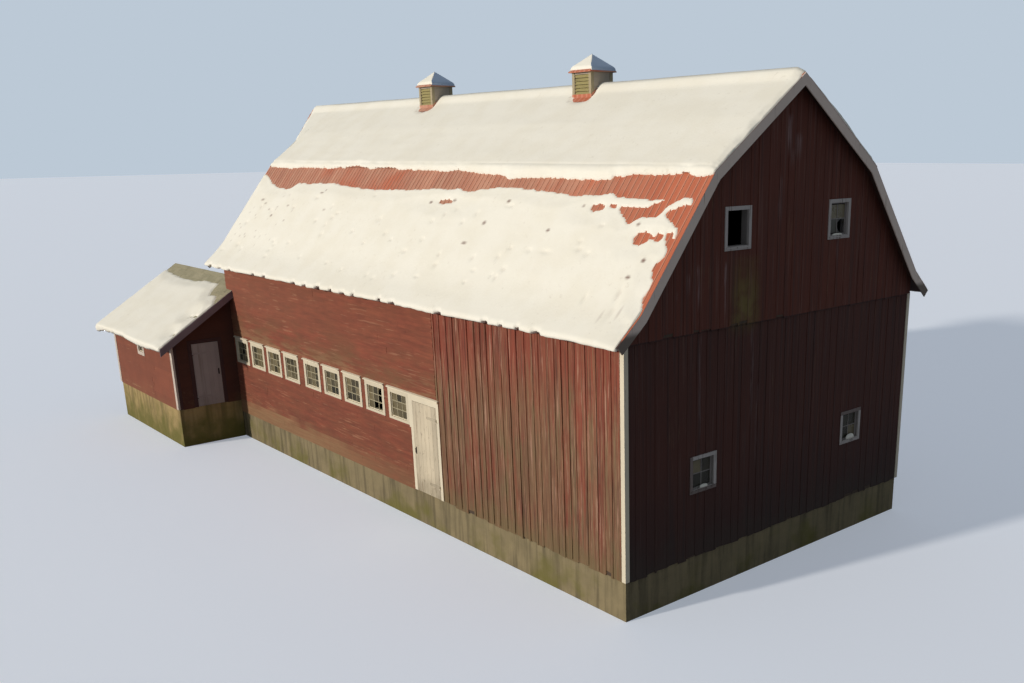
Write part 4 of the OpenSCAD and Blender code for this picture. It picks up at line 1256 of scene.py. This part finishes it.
annex_red = board_finish("red_annex_siding", paint(126, 68, 46), paint(150, 110, 80), 0.1,
                         level_y, foot_wear=(0.1, 1.3, 2.3), foot_grime=0.3,
                         grime_tint=paint(126, 100, 62), patch=0.25, sharp=0.12, swing=0.2,
                         own=0.15, marks=annex_front_shade)
dress(wall_core, "annex_front_wall", "annex_side_walls", "annex_back_wall")


def annex_wall_top(x):
    return annex_ridge_z - abs(x - annex_ridge_x) * annex_fall - annex_roof_depth


def annex_sides(z):
    """Where the roof's two slopes end a gable's boards at a height."""
    half = (annex_ridge_z - annex_roof_depth - z) / annex_fall
    return (annex_ridge_x - half, annex_ridge_x + half)


annex_window_hole = framed_hole(*annex_window, trim_width)
doorway_left, doorway_right, doorway_head = -4.9625, -4.1025, 3.19
annex_door_hole = (doorway_left - trim_width, doorway_right + trim_width, 0.0,
                   doorway_head + trim_width)
left_top, right_top = [annex_wall_top(x) - 0.012 for x in (annex_left, annex_right)]
work = Joinery()
for face, start, stop, high, top, sides, holes, seed in (
        (on_annex_left, annex_front + corner_width, annex_back - corner_width, left_top,
         level(left_top), upright_sides, [annex_window_hole], 81),
        (side_face(annex_right, 1), back + 0.001, annex_back - corner_width, right_top,
         level(right_top), upright_sides, [], 82),
        (end_face(annex_front, -1), annex_left + corner_width, left - 0.001,
         annex_wall_top(left), level(no_end), annex_sides, [annex_door_hole], 83),
        (end_face(annex_back, 1), annex_left + corner_width, annex_right - corner_width,
         annex_ridge_z - 0.12, level(no_end), annex_sides, [], 84)):
    lap_boards(work, face, start, stop, annex_floor - 0.015, high, top, sides, holes,
               random.Random(seed))
work.piece("annex_siding", annex_red, "lap_siding")

# White boards at the corners, but red on the front and round the door, darkened there as
# painted shade like the front's siding, and grey rakes
annex_trim, tree, shader = new_finish("annex_trim")
place = place_on(tree)
across, along, _ = axes(place)
annex_middle, annex_wall_half = 9.044, 3.0885
door_middle, door_reach = -4.54, 0.62
round_door = calc("COMPARE", across, door_middle, door_reach)
# Round the door and on the front the red is darkened as painted shade, as on the front siding
colour = mix(round_door, paint(204, 190, 176), paint(62, 32, 28))
on_front = (along < annex_front + 0.001) * (1.0 - (across < annex_left + 0.035))
colour = mix(on_front, colour, paint(62, 32, 28))
rake = abs(along - annex_middle) > annex_wall_half
colour = mix(rake, colour, paint(128, 110, 114))
patchy = use(blotches, Colour=colour, Place=place, Size=0.4, Strength=0.3)["Colour"]
fill(shader, {"Base Color": patchy, "Roughness": 0.8})
dress(annex_trim, "annex_trim")

shingle_grey, tree, shader = new_finish("asphalt_shingles")
place = place_on(tree)
speck = noisy(place, 0.012, 2.0)
tabs = mix(attribute(tree, "tone"), paint(162, 154, 124), paint(181, 171, 140))
dirty = mix(spread(noisy(place, 0.6, 5.0), 0.55, 0.75, 0.0, 0.5), tabs, paint(110, 102, 76))
specked = mix(spread(speck, 0.4, 0.65, 0.0, 0.35), dirty, paint(84, 82, 70))
fill(shader, {"Base Color": specked, "Roughness": 0.95, "Normal": raised(speck, 0.002)})
dress(shingle_grey, "annex_roof")


def on_annex_roof(side, y, run, lift):
    """A point over one of the annex's two slopes, its run counted from the ridge."""
    out = run * math.cos(annex_pitch) + lift * math.sin(annex_pitch)
    return (annex_ridge_x + side * out, y,
            annex_ridge_z - run * math.sin(annex_pitch) + lift * math.cos(annex_pitch))


annex_roof_half = 2.84
annex_run = annex_roof_half / math.cos(annex_pitch)
behind_barn = back + 0.012
shingle_step, tab_width, ridge_strip = 0.14, 0.305, 0.14
shingles = Joinery()
dice = random.Random(85)
for side, low_y in ((-1, annex_roof_low.y), (1, behind_barn)):
    for row in range(int(annex_run / shingle_step)):
        run = annex_run - row * shingle_step
        y = low_y
        # Further up, the outer slope begins behind the barn as well
        if side == -1 and on_annex_roof(side, y, run - shingle_step, 0)[0] > left - 0.03:
            y = behind_barn
        y -= dice.uniform(0.05, 0.25)
        while y < annex_roof_high.y - 0.02:
            start, high = max(y, low_y), min(y + tab_width, annex_roof_high.y)
            if high - start > 0.02:
                butt = run + dice.uniform(-0.003, 0.003) + (0.01 if row == 0 else 0.0)
                head = run - shingle_step
                shingles.sweep([[on_annex_roof(side, a, *corner) for corner in
                                 ((butt, 0.0), (butt, 0.008), (head, 0.003), (head, 0.0))]
                                for a in (start + 0.002, high - 0.002)], dice.random())
            y += tab_width
for side in (-1, 1):
    shingles.sweep([[on_annex_roof(side, a, *corner) for corner in
                     ((0.0, 0.012), (ridge_strip, 0.012), (ridge_strip, 0.004), (0.0, 0.0))]
                    for a in (behind_barn, annex_roof_high.y)])
shingles.piece("annex_shingles", shingle_grey, "annex_roofing")


# Snow
# What lies on the roofs: a blanket over both upper slopes, a second one on each lower slope
# that has slid down and left a band of bare steel, and the annex's own. Edges are ragged.
def snow_finish(name, shade_tint):
    """Old snow, darker in spots by its age value. Faces towards the near end, away from the lamp,
    get a tint of painted shade.
    """
    finish, tree, shader = new_finish(name)
    place = place_on(tree)
    drift = spread(noisy(place, 0.9), 0.35, 0.7)
    colour = mix(drift, paint(251, 246, 231), paint(247, 241, 224))
    fleck = spread(noisy(place, 0.13, 4.0, 0.7), 0.58, 0.74)
    fleck = fleck * spread(noisy(place, 1.7, 2.0), 0.42, 0.6, 0.1, 0.3)
    colour = mix(fleck, colour, paint(196, 184, 164))
    colour = mix(attribute(tree, "age"), colour, paint(112, 70, 56))
    shaded_side = spread(axes(way_of(tree))[1], -0.45, -0.6)
    fill(shader, {"Base Color": mix(shaded_side, colour, shade_tint), "Roughness": 0.8,
                  "Normal": raised(noisy(place, 0.05), 0.003)})
    return finish


# Faces towards the near end get a tint of painted shade: almost none on the roofs' snow, bluish
# grey on the cupolas' caps
snow = snow_finish("settled_snow", paint(246, 240, 224))
cap_snow = snow_finish("snow_in_shade", paint(186, 204, 228))


def inside_by(ys, runs, outline):
    """How far each spot lies inside a closed line, and less than nothing outside it."""
    nearest = np.full(ys.shape, 99.0)
    odd = np.zeros(ys.shape, bool)
    for (y0, run0), (y1, run1) in zip(outline, outline[1:] + outline[:1]):
        dy, dr = y1 - y0, run1 - run0
        share = np.clip(((ys - y0) * dy + (runs - run0) * dr) / (dy * dy + dr * dr), 0, 1)
        nearest = np.minimum(nearest, np.hypot(ys - y0 - share * dy, runs - run0 - share * dr))
        if dy:
            crossed = (y0 > ys) != (y1 > ys)
            odd ^= crossed & (runs < run0 + (ys - y0) * dr / dy)
    return np.where(odd, nearest, -nearest)


def waves(ys, runs, size, seed):
    spots = zip(ys.ravel() / size, runs.ravel() / size)
    return np.array([noise.noise((y, run, seed)) for y, run in spots]).reshape(ys.shape)


def places_along(ys, runs):
    """The place along the roof of each spot in a grid of runs."""
    return np.repeat(np.array(ys)[:, None], runs.shape[1], axis=1)


buried = -0.04
thin_edge = 0.36


def snow_depth(ys, runs, outline, bare, dips, depth, seed, melt_reach=0.45):
    """Depth over a grid of spots. bare and dips are ovals: where, and how long each way.
    Outside its edges the sheet runs on buried in the roof."""
    ys = places_along(ys, runs)
    shift_y = ys + 0.055 * waves(ys, runs, 0.30, seed) + 0.025 * waves(ys, runs, 0.10, seed + 5)
    shift_r = runs + 0.040 * waves(ys, runs, 0.26, seed + 9) + 0.02 * waves(ys, runs, 0.09, seed)
    inside = inside_by(shift_y, shift_r, outline)
    for y, run, half_y, half_run in bare:
        oval = (np.hypot((shift_y - y) / half_y, (shift_r - run) / half_run) - 1)
        inside = np.minimum(inside, oval * min(half_y, half_run))
    deep = depth * (1 + 0.08 * waves(ys * 0.4, runs, 0.9, seed + 2)
                    + 0.05 * waves(ys * 0.2, runs, 0.22, seed))
    deep += 0.0015 * waves(ys, runs, 0.09, seed + 3)
    for y, run, half_y, half_run in dips:
        oval = np.hypot((ys - y) / half_y, (runs - run) / half_run)
        deep -= depth * 0.35 * np.exp(-oval * oval * 1.5)
    # Snow has melted thin along its edges, and ends there in a small round
    rim = 1 - np.clip(inside / 0.06, 0, 1)
    melt = np.clip(inside / melt_reach, 0, 1)
    thin = thin_edge + (1 - thin_edge) * melt * melt * (3 - 2 * melt)
    return np.where(inside > 0, deep * thin * np.sqrt(1 - rim * rim), buried)


def lay_snow(name, spot_at, ys, runs, lifts, under=-0.05, backing=10, dark_spots=()):
    """One closed sheet: each column goes up over the snow and back under it. Dark spots are ovals,
    with how strong each is, and go into the sheet's age value."""
    grid = places_along(ys, runs)
    spot_dark = np.zeros(grid.shape)
    for at_y, at_run, half_y, half_run, strong in dark_spots:
        oval = np.hypot((grid - at_y) / half_y, (runs - at_run) / half_run)
        spot_dark = np.maximum(spot_dark, strong * np.clip(1.5 - 1.5 * oval, 0, 1))
    last = runs.shape[1] - 1
    way_back = [round(last * step / backing) for step in range(backing, -1, -1)]
    sheet = Joinery()
    sheet.sweep([[spot_at(y, run, lift) for run, lift in zip(row, row_lifts)]
                 + [spot_at(y, row[spot], under) for spot in way_back]
                 for y, row, row_lifts in zip(ys, runs, lifts)])
    sheet.ages = [age for column in spot_dark for age in [*column, *[0.0] * (backing + 1)]]
    sheet.piece(name, snow, smooth=True)


def columns_from(start, stop, count):
    """Places along the roof, closer together at the near end where they show most."""
    return [start + (stop - start) * (0.62 * n / count + 0.38 * (n / count) ** 2)
            for n in range(count + 1)]


droop_turn = 0.104
eave_lean = math.acos(ways[2][0])


def over_roof(y, run, lift):
    """A point over the barn's roof, rounded over its bends and down past its eaves.
    The run is counted from the ridge, less than nothing on the right side."""
    side = 1 if run < 0 else -1
    run = abs(run)
    if lift > 0:
        lift *= np.interp(run, (0.0, 0.30, 1.5), (1.15, 0.42, 1.0))
    if run > eave_run:
        lean = eave_lean + (run - eave_run) / droop_turn
        out = roof_line[3][0] + droop_turn * (math.sin(lean) - math.sin(eave_lean))
        z = roof_line[3][1] + droop_turn * (math.cos(lean) - math.cos(eave_lean))
        return (middle + side * (out + lift * math.sin(lean)), y, z + lift * math.cos(lean))
    slope = 0 if run < bends[1] else 1 if run < bends[2] else 2
    out_way, up_way = ways[slope]
    tip = [-up_way, out_way]
    soft = 0.08
    for at, other in ((bends[slope], slope - 1), (bends[slope + 1], slope + 1)):
        if abs(run - at) < soft and other < 3:
            next_way = ways[other] if other >= 0 else (ways[0][0], -ways[0][1])
            share = (1 - abs(run - at) / soft) / 2
            tip[0] += share * (-next_way[1] - tip[0])
            tip[1] += share * (next_way[0] - tip[1])
    length = math.hypot(*tip)
    out = roof_line[slope][0] + out_way * (run - bends[slope]) + lift * tip[0] / length
    z = roof_line[slope][1] + up_way * (run - bends[slope]) + lift * tip[1] / length
    return (middle + side * out, y, z)


knuckle = bends[1]
# Where the upper blanket ends on the left lower slope, from the near end on, past the knuckle
left_lip = [(-12.20, 0.02), (-11.92, 0.14), (-11.61, 0.11), (-11.41, 0.05), (-11.14, 0.10),
            (-10.34, 0.09), (-9.54, 0.16), (-9.48, 0.22), (-8.7, 0.25), (-7.73, 0.24),
            (-7.26, 0.23), (-6.08, 0.28), (-5.94, 0.21), (-5.67, 0.16), (-5.02, 0.15),
            (-3.88, 0.08), (-3.45, 0.10), (-2.54, 0.09), (-1.37, 0.08), (-0.5, 0.03), (0.41, 0.07),
            (1.18, -0.02), (1.92, 0.05), (2.85, 0.09), (4.16, 0.07), (5.47, 0.12), (6.87, 0.06)]
right_lip = [(y, 0.16 + 0.10 * math.sin(1.7 * y)) for y in (6.87, 5, 3, 1, -1, -3, -5, -7, -9,
                                                            -11, -12.18)]
upper_outline = ([(y, knuckle + past) for y, past in left_lip]
                 + [(6.87, hood_run - 0.02), (8.67, 0.05), (8.67, -0.05), (6.87, -hood_run + 0.02)]
                 + [(y, -knuckle - past) for y, past in right_lip]
                 + [(-12.22, -1.5), (-12.2, -0.3), (-12.13, -0.08), (-12.13, 0.08), (-12.2, 0.3),
                    (-12.2, 1.5), (-12.2, 2.6)])
cupola_bare = [(spot - 0.06, side * 0.45, 0.22, 0.13) for spot in cupola_ys for side in (-1, 1)]


def upper_reach(y):
    """How far down from the ridge the sheet runs, which the hay hood's slanting edge limits."""
    return min(knuckle + 0.42, hood_edge(y) + 0.02 if y > roof_back else no_end)


ys = columns_from(roof_front - 0.024, roof_back - 0.005, 420)
ys += [roof_back + 0.005 + 0.07 * n for n in range(26)]
shares = np.concatenate([np.linspace(-1, 0, 36), np.linspace(0, 0.8, 44)[1:],
                         np.linspace(0.8, 1, 30)[1:]])
runs = np.array([upper_reach(y) * shares for y in ys])
lifts = snow_depth(ys, runs, upper_outline, cupola_bare, [], 0.092, 3.3, 0.2)
crease = 0.010 * np.exp(-((runs - knuckle + 0.09) / 0.03) ** 2)
lifts = np.where(lifts > 0.03, lifts - crease, lifts)
upper_dark_spots = [(spot + 0.42 - 0.06 * n, 0.40 + 0.09 * n, 0.06, 0.05, 0.3) for spot in cupola_ys
                for n in range(3)]
# The underside lies below what is buried, and is fine enough to stay in the roof at its bends
lay_snow("snow_upper", over_roof, ys, runs, lifts, under=-0.045, backing=54,
         dark_spots=upper_dark_spots)

# The lower blanket on the left, from its far end along its top edge to the near end, where it
# has thinned to two fingers round a bare patch, then down the near edge to the eave
left_low = [(6.94, 0.30), (6.36, 0.47), (5.93, 0.64), (5.3, 0.81), (4.51, 0.82), (4.09, 0.60),
            (3.41, 0.62), (1.98, 0.56), (0.23, 0.69), (-1.35, 0.69), (-2.31, 0.67), (-3.53, 0.59),
            (-4.47, 0.58), (-4.78, 0.64), (-5.72, 0.51), (-6.5, 0.48), (-7.13, 0.51), (-7.96, 0.57),
            (-8.76, 0.64), (-9.23, 0.58), (-9.78, 0.54), (-9.98, 0.62), (-10.52, 0.64),
            (-11.09, 0.63), (-11.3, 0.63), (-11.27, 0.68), (-11.02, 0.76), (-10.95, 0.82),
            (-10.57, 0.85), (-10.21, 0.84), (-10.28, 0.97), (-10.43, 1.06), (-10.58, 1.19),
            (-10.68, 1.20), (-10.76, 1.13), (-10.87, 1.07), (-11.18, 1.02), (-11.29, 1.01),
            (-11.42, 0.80), (-11.56, 0.67), (-11.75, 0.57), (-11.95, 0.57), (-12.02, 0.66),
            (-12.02, 0.73), (-11.84, 0.77), (-11.59, 0.84), (-11.46, 0.93), (-11.56, 1.03),
            (-11.81, 1.14), (-11.90, 1.20), (-11.99, 1.22), (-12.02, 1.47), (-11.94, 1.45),
            (-11.90, 1.32), (-11.76, 1.35), (-11.79, 1.46), (-11.87, 1.56), (-11.99, 1.70),
            (-12.04, 1.86), (-11.88, 2.00), (-11.88, 2.15), (-12.01, 2.32), (-12.03, 2.52),
            (-12.0, 2.70), (-12.14, 2.89), (-12.25, 3.05), (-12.25, 3.3), (-12.15, 3.36),
            (-12.12, 3.9), (-12.2, 4.2), (7.1, 4.2), (6.95, 3.8)]
left_bare = [(-11.20, 1.50, 0.20, 0.14), (-11.62, 1.45, 0.085, 0.065), (-11.44, 1.47, 0.09, 0.025),
             (-9.53, 0.90, 0.18, 0.075), (-9.99, 0.85, 0.10, 0.03), (-4.11, 0.96, 0.26, 0.05)]
left_dark_spots = [(-9.13, 0.88, 0.06, 0.04, 0.6), (-10.95, 1.22, 0.07, 0.05, 0.75),
               (-11.59, 1.98, 0.07, 0.06, 0.9), (-11.43, 2.36, 0.09, 0.05, 0.85),
               (-8.49, 1.53, 0.08, 0.05, 0.8), (-6.65, 0.89, 0.09, 0.06, 0.8),
               (-6.19, 1.48, 0.09, 0.07, 0.75), (-5.86, 2.03, 0.13, 0.05, 0.75),
               (-4.48, 0.92, 0.11, 0.05, 0.7), (-3.54, 1.01, 0.09, 0.05, 0.85),
               (2.19, 0.94, 0.14, 0.04, 0.7), (2.05, 0.84, 0.05, 0.05, 0.7),
               (1.49, 1.48, 0.12, 0.04, 0.4), (4.52, 1.82, 0.09, 0.06, 0.7),
               (5.73, 1.30, 0.16, 0.05, 0.6), (5.38, 1.42, 0.12, 0.04, 0.5),
               (3.81, 1.44, 0.11, 0.04, 0.5), (4.9, 1.62, 0.08, 0.04, 0.5),
               (-11.3, 3.25, 0.05, 0.2, 0.2), (-11.7, 3.1, 0.05, 0.22, 0.25)]
dice = random.Random(91)
left_dips = [(-8.23, 2.03, 0.12, 0.06), (-8.76, 2.02, 0.2, 0.06), (-11.41, 2.71, 0.08, 0.2),
             (-11.49, 3.12, 0.1, 0.25), (-10.6, 2.90, 0.06, 0.15), (-4.11, 1.55, 0.09, 0.07),
             (-5.34, 1.51, 0.09, 0.07), (-0.71, 2.05, 0.1, 0.07), (-2.36, 2.00, 0.1, 0.07),
             (-4.12, 2.05, 0.1, 0.07), (-7.58, 2.03, 0.1, 0.06), (-3.82, 3.08, 0.1, 0.1)]
left_dips += [(dice.uniform(-11.5, 6.5), dice.uniform(0.9, 3.3), dice.uniform(0.05, 0.14),
               dice.uniform(0.04, 0.10)) for _ in range(50)]
# Each dip is darkened a little too
left_dark_spots += [(y, run, half_y, half_run * 0.7, dice.uniform(0.03, 0.16))
                for y, run, half_y, half_run in left_dips]
left_dark_spots += [(dice.uniform(3.2, 6.4), dice.uniform(1.1, 2.9), dice.uniform(0.03, 0.08),
                 dice.uniform(0.03, 0.06), dice.uniform(0.15, 0.45)) for _ in range(26)]
right_low = [(6.95, 0.4), (5.0, 0.75), (2.6, 0.6), (0.4, 0.82), (-1.9, 0.7), (-4.2, 0.9),
             (-6.6, 0.62), (-9.0, 0.8), (-10.8, 0.66), (-11.7, 0.9), (-11.9, 1.6), (-11.8, 2.4),
             (-12.05, 3.0), (-12.3, 3.05), (-12.3, 4.2), (7.1, 4.2)]
right_dips = [(dice.uniform(-11.5, 6.5), dice.uniform(0.9, 3.3), dice.uniform(0.06, 0.2),
               dice.uniform(0.05, 0.14)) for _ in range(50)]

# Where the snow's lower edge has melted back: the middle, half as wide, and how far
dice = random.Random(93)
notches = []
at = -9.9
while at < 6.7:
    notches.append((at, dice.uniform(0.08, 0.17), dice.uniform(0.045, 0.08)))
    at += dice.uniform(0.52, 0.74) if dice.random() < 0.75 else dice.uniform(1.2, 2.0)


def eave_lip(y, seed):
    """How far the snow's lower edge hangs past the eave."""
    hang = 0.062 + 0.030 * noise.noise((y / 1.3, seed, 0))
    hang += 0.012 * noise.noise((y / 0.25, seed, 2))
    for middle_y, half, back_by in notches:
        off = abs(y - middle_y) / half
        if off < 1:
            hang -= back_by * (1 - off * off) ** 0.6
    return hang


def runs_to(ends, start, count, lip):
    """Rows of runs down to where the snow ends, with the last few given by the lip."""
    return np.array([[*np.linspace(start, end - lip[0], count), *[end - back for back in lip[1:]]]
                     for end in ends])


def rounded(runs, lifts, reach):
    """Snow falls away over its lip in a round that starts a reach above it."""
    from_lip = 1 - np.clip((runs[:, -1:] + 0.002 - runs) / reach, 0, 1)
    return np.where(lifts > 0, lifts * np.sqrt(1 - from_lip ** 2), lifts)


eave_spots = (0.10, 0.07, 0.045, 0.025, 0.010, 0.002)
left_dark_spots = [(y, knuckle + run, *rest) for y, run, *rest in left_dark_spots]
for label, side, outline, bare, dips, dark_spots, count, down, seed in (
        ("left", 1, left_low, left_bare, left_dips, left_dark_spots, 640, 100, 1.7),
        ("right", -1, right_low, [], right_dips, [], 200, 44, 8.2)):
    ys = columns_from(roof_front + 0.01, roof_back - 0.005, count)
    ends = [eave_run + eave_lip(y, seed) for y in ys]
    runs = runs_to(ends, knuckle + 0.22, down, eave_spots)
    lifts = snow_depth(ys, runs - knuckle, outline, bare, dips, 0.070, seed)
    # Snow fills the hollow of the flare's bend
    hollow = 0.017 * np.clip(1 - np.abs(runs - bends[2]) / 0.35, 0, 1) ** 2
    lifts = rounded(runs, np.where(lifts > 0.02, lifts + hollow, lifts), eave_spots[0])
    lay_snow("snow_lower_" + label, lambda y, run, lift: over_roof(y, side * run, lift), ys, runs,
             lifts, dark_spots=dark_spots)

annex_outline = [(12.25, 0.36), (11.29, 0.48), (10.09, 0.57), (8.99, 0.56), (8.45, 0.45),
                 (7.79, 0.45), (7.25, 0.45), (7.05, 0.80), (6.86, 0.98), (6.57, 0.92),
                 (6.25, 1.02), (6.10, 1.16), (5.90, 1.25), (5.90, 3.9), (12.25, 3.9)]
annex_bare = [(6.16, 1.90, 0.11, 0.05), (6.42, 1.96, 0.06, 0.04), (6.1, 2.75, 0.07, 0.04)]
inner_outline = [(12.25, 0.03), (10.4, 0.05), (8.8, 0.03), (7.4, 0.05), (6.5, 0.04), (6.3, 3.9),
                 (12.25, 3.9)]


def over_annex(side, y, run, lift):
    """A point over the annex's roof, sagging where the snow hangs past the eave."""
    past = max(0.0, run - annex_run)
    return on_annex_roof(side, y, run - past * 0.2, lift - 3.5 * past * past)


def annex_lip(y, side):
    """How far the snow hangs past the annex's eaves, furthest at the far outer corner."""
    over = 0.06 + 0.04 * noise.noise((y / 0.7, side, 3)) + 0.03 * noise.noise((y / 0.2, side, 5))
    over += 0.07 * math.exp(-((y - 7.6) / 1.1) ** 2)
    if side == -1:
        over += 0.12 * math.exp(-((y - 12.1) / 0.7) ** 2)
    return over


annex_spots = (0.12, 0.09, 0.06, 0.035, 0.015, 0.003)
for label, side, outline, bare, low_y, top_run, count in (
        ("outer", -1, annex_outline, annex_bare, annex_roof_low.y + 0.01, 0.16, 110),
        ("inner", 1, inner_outline, [], back + 0.02, 0.03, 80)):
    ys = list(np.linspace(low_y, annex_roof_high.y - 0.01, count))
    runs = runs_to([annex_run + annex_lip(y, side) for y in ys], top_run, 52, annex_spots)
    lifts = snow_depth(ys, runs, outline, bare, [], 0.10, 5.5 + side)
    lay_snow("snow_annex_" + label, lambda y, run, lift: over_annex(side, y, run, lift), ys, runs,
             rounded(runs, lifts, annex_spots[0]))

# Caps of snow on the cupolas, which keep the lids' four slopes
lid_half, lid_low, lid_high = 0.405, cupola_eave + 0.025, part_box("cupola_roofs")[1].z
sunny_edge, other_edge = 0.045, 0.012
work = Joinery()
for number, spot in enumerate(cupola_ys):
    steps = [math.sin(math.pi / 2 * n / 16) for n in range(-16, 17)]
    rings = []
    for share_x in steps:
        top, bottom = [], []
        for share_y in steps:
            far = max(abs(share_x), abs(share_y))
            x = middle + share_x * (lid_half - (sunny_edge if share_x < 0 else other_edge))
            y = spot + share_y * (lid_half - other_edge)
            out = max(abs(x - middle), abs(y - spot)) / lid_half
            z = lid_low + (lid_high - lid_low) * (1 - out)
            bump = 1 + 0.1 * noise.noise((x / 0.5, y / 0.5, number))
            thick = 0.065 * bump * max(0.0, 1 - far ** 30) ** 0.5
            top.append((x, y, z + max(thick, 0.001)))
            bottom.append((x, y, z - 0.004))
        rings.append(top + bottom[::-1])
    work.sweep(rings, age=0.0)
work.piece("snow_cupolas", cap_snow)

# Small drifts on the sills of the front gable's windows: where, half as long, and how high
drifts = ((lower_tier, 1, 0.05, 0.15, 0.11), (lower_tier, -1, 0.04, 0.11, 0.06),
          (upper_tier, 1, -0.02, 0.17, 0.04))
work = Joinery()
for tier, side, shift, half, high in drifts:
    x = middle + side * tier[0] + shift
    y = upper_front if tier is upper_tier else front
    rings = []
    for n in range(13):
        share = max(0.02, math.sin(math.pi * n / 12)) ** 0.6
        along = x - half * math.cos(math.pi * n / 12)
        rings.append([(along, y + 0.012 - 0.034 * math.cos(math.pi * m / 8) * share,
                       tier[1] + 0.022 + high * share * math.sin(math.pi * m / 8))
                      for m in range(9)])
    work.sweep(rings, age=0.0)
work.piece("snow_sills", snow, smooth=True)
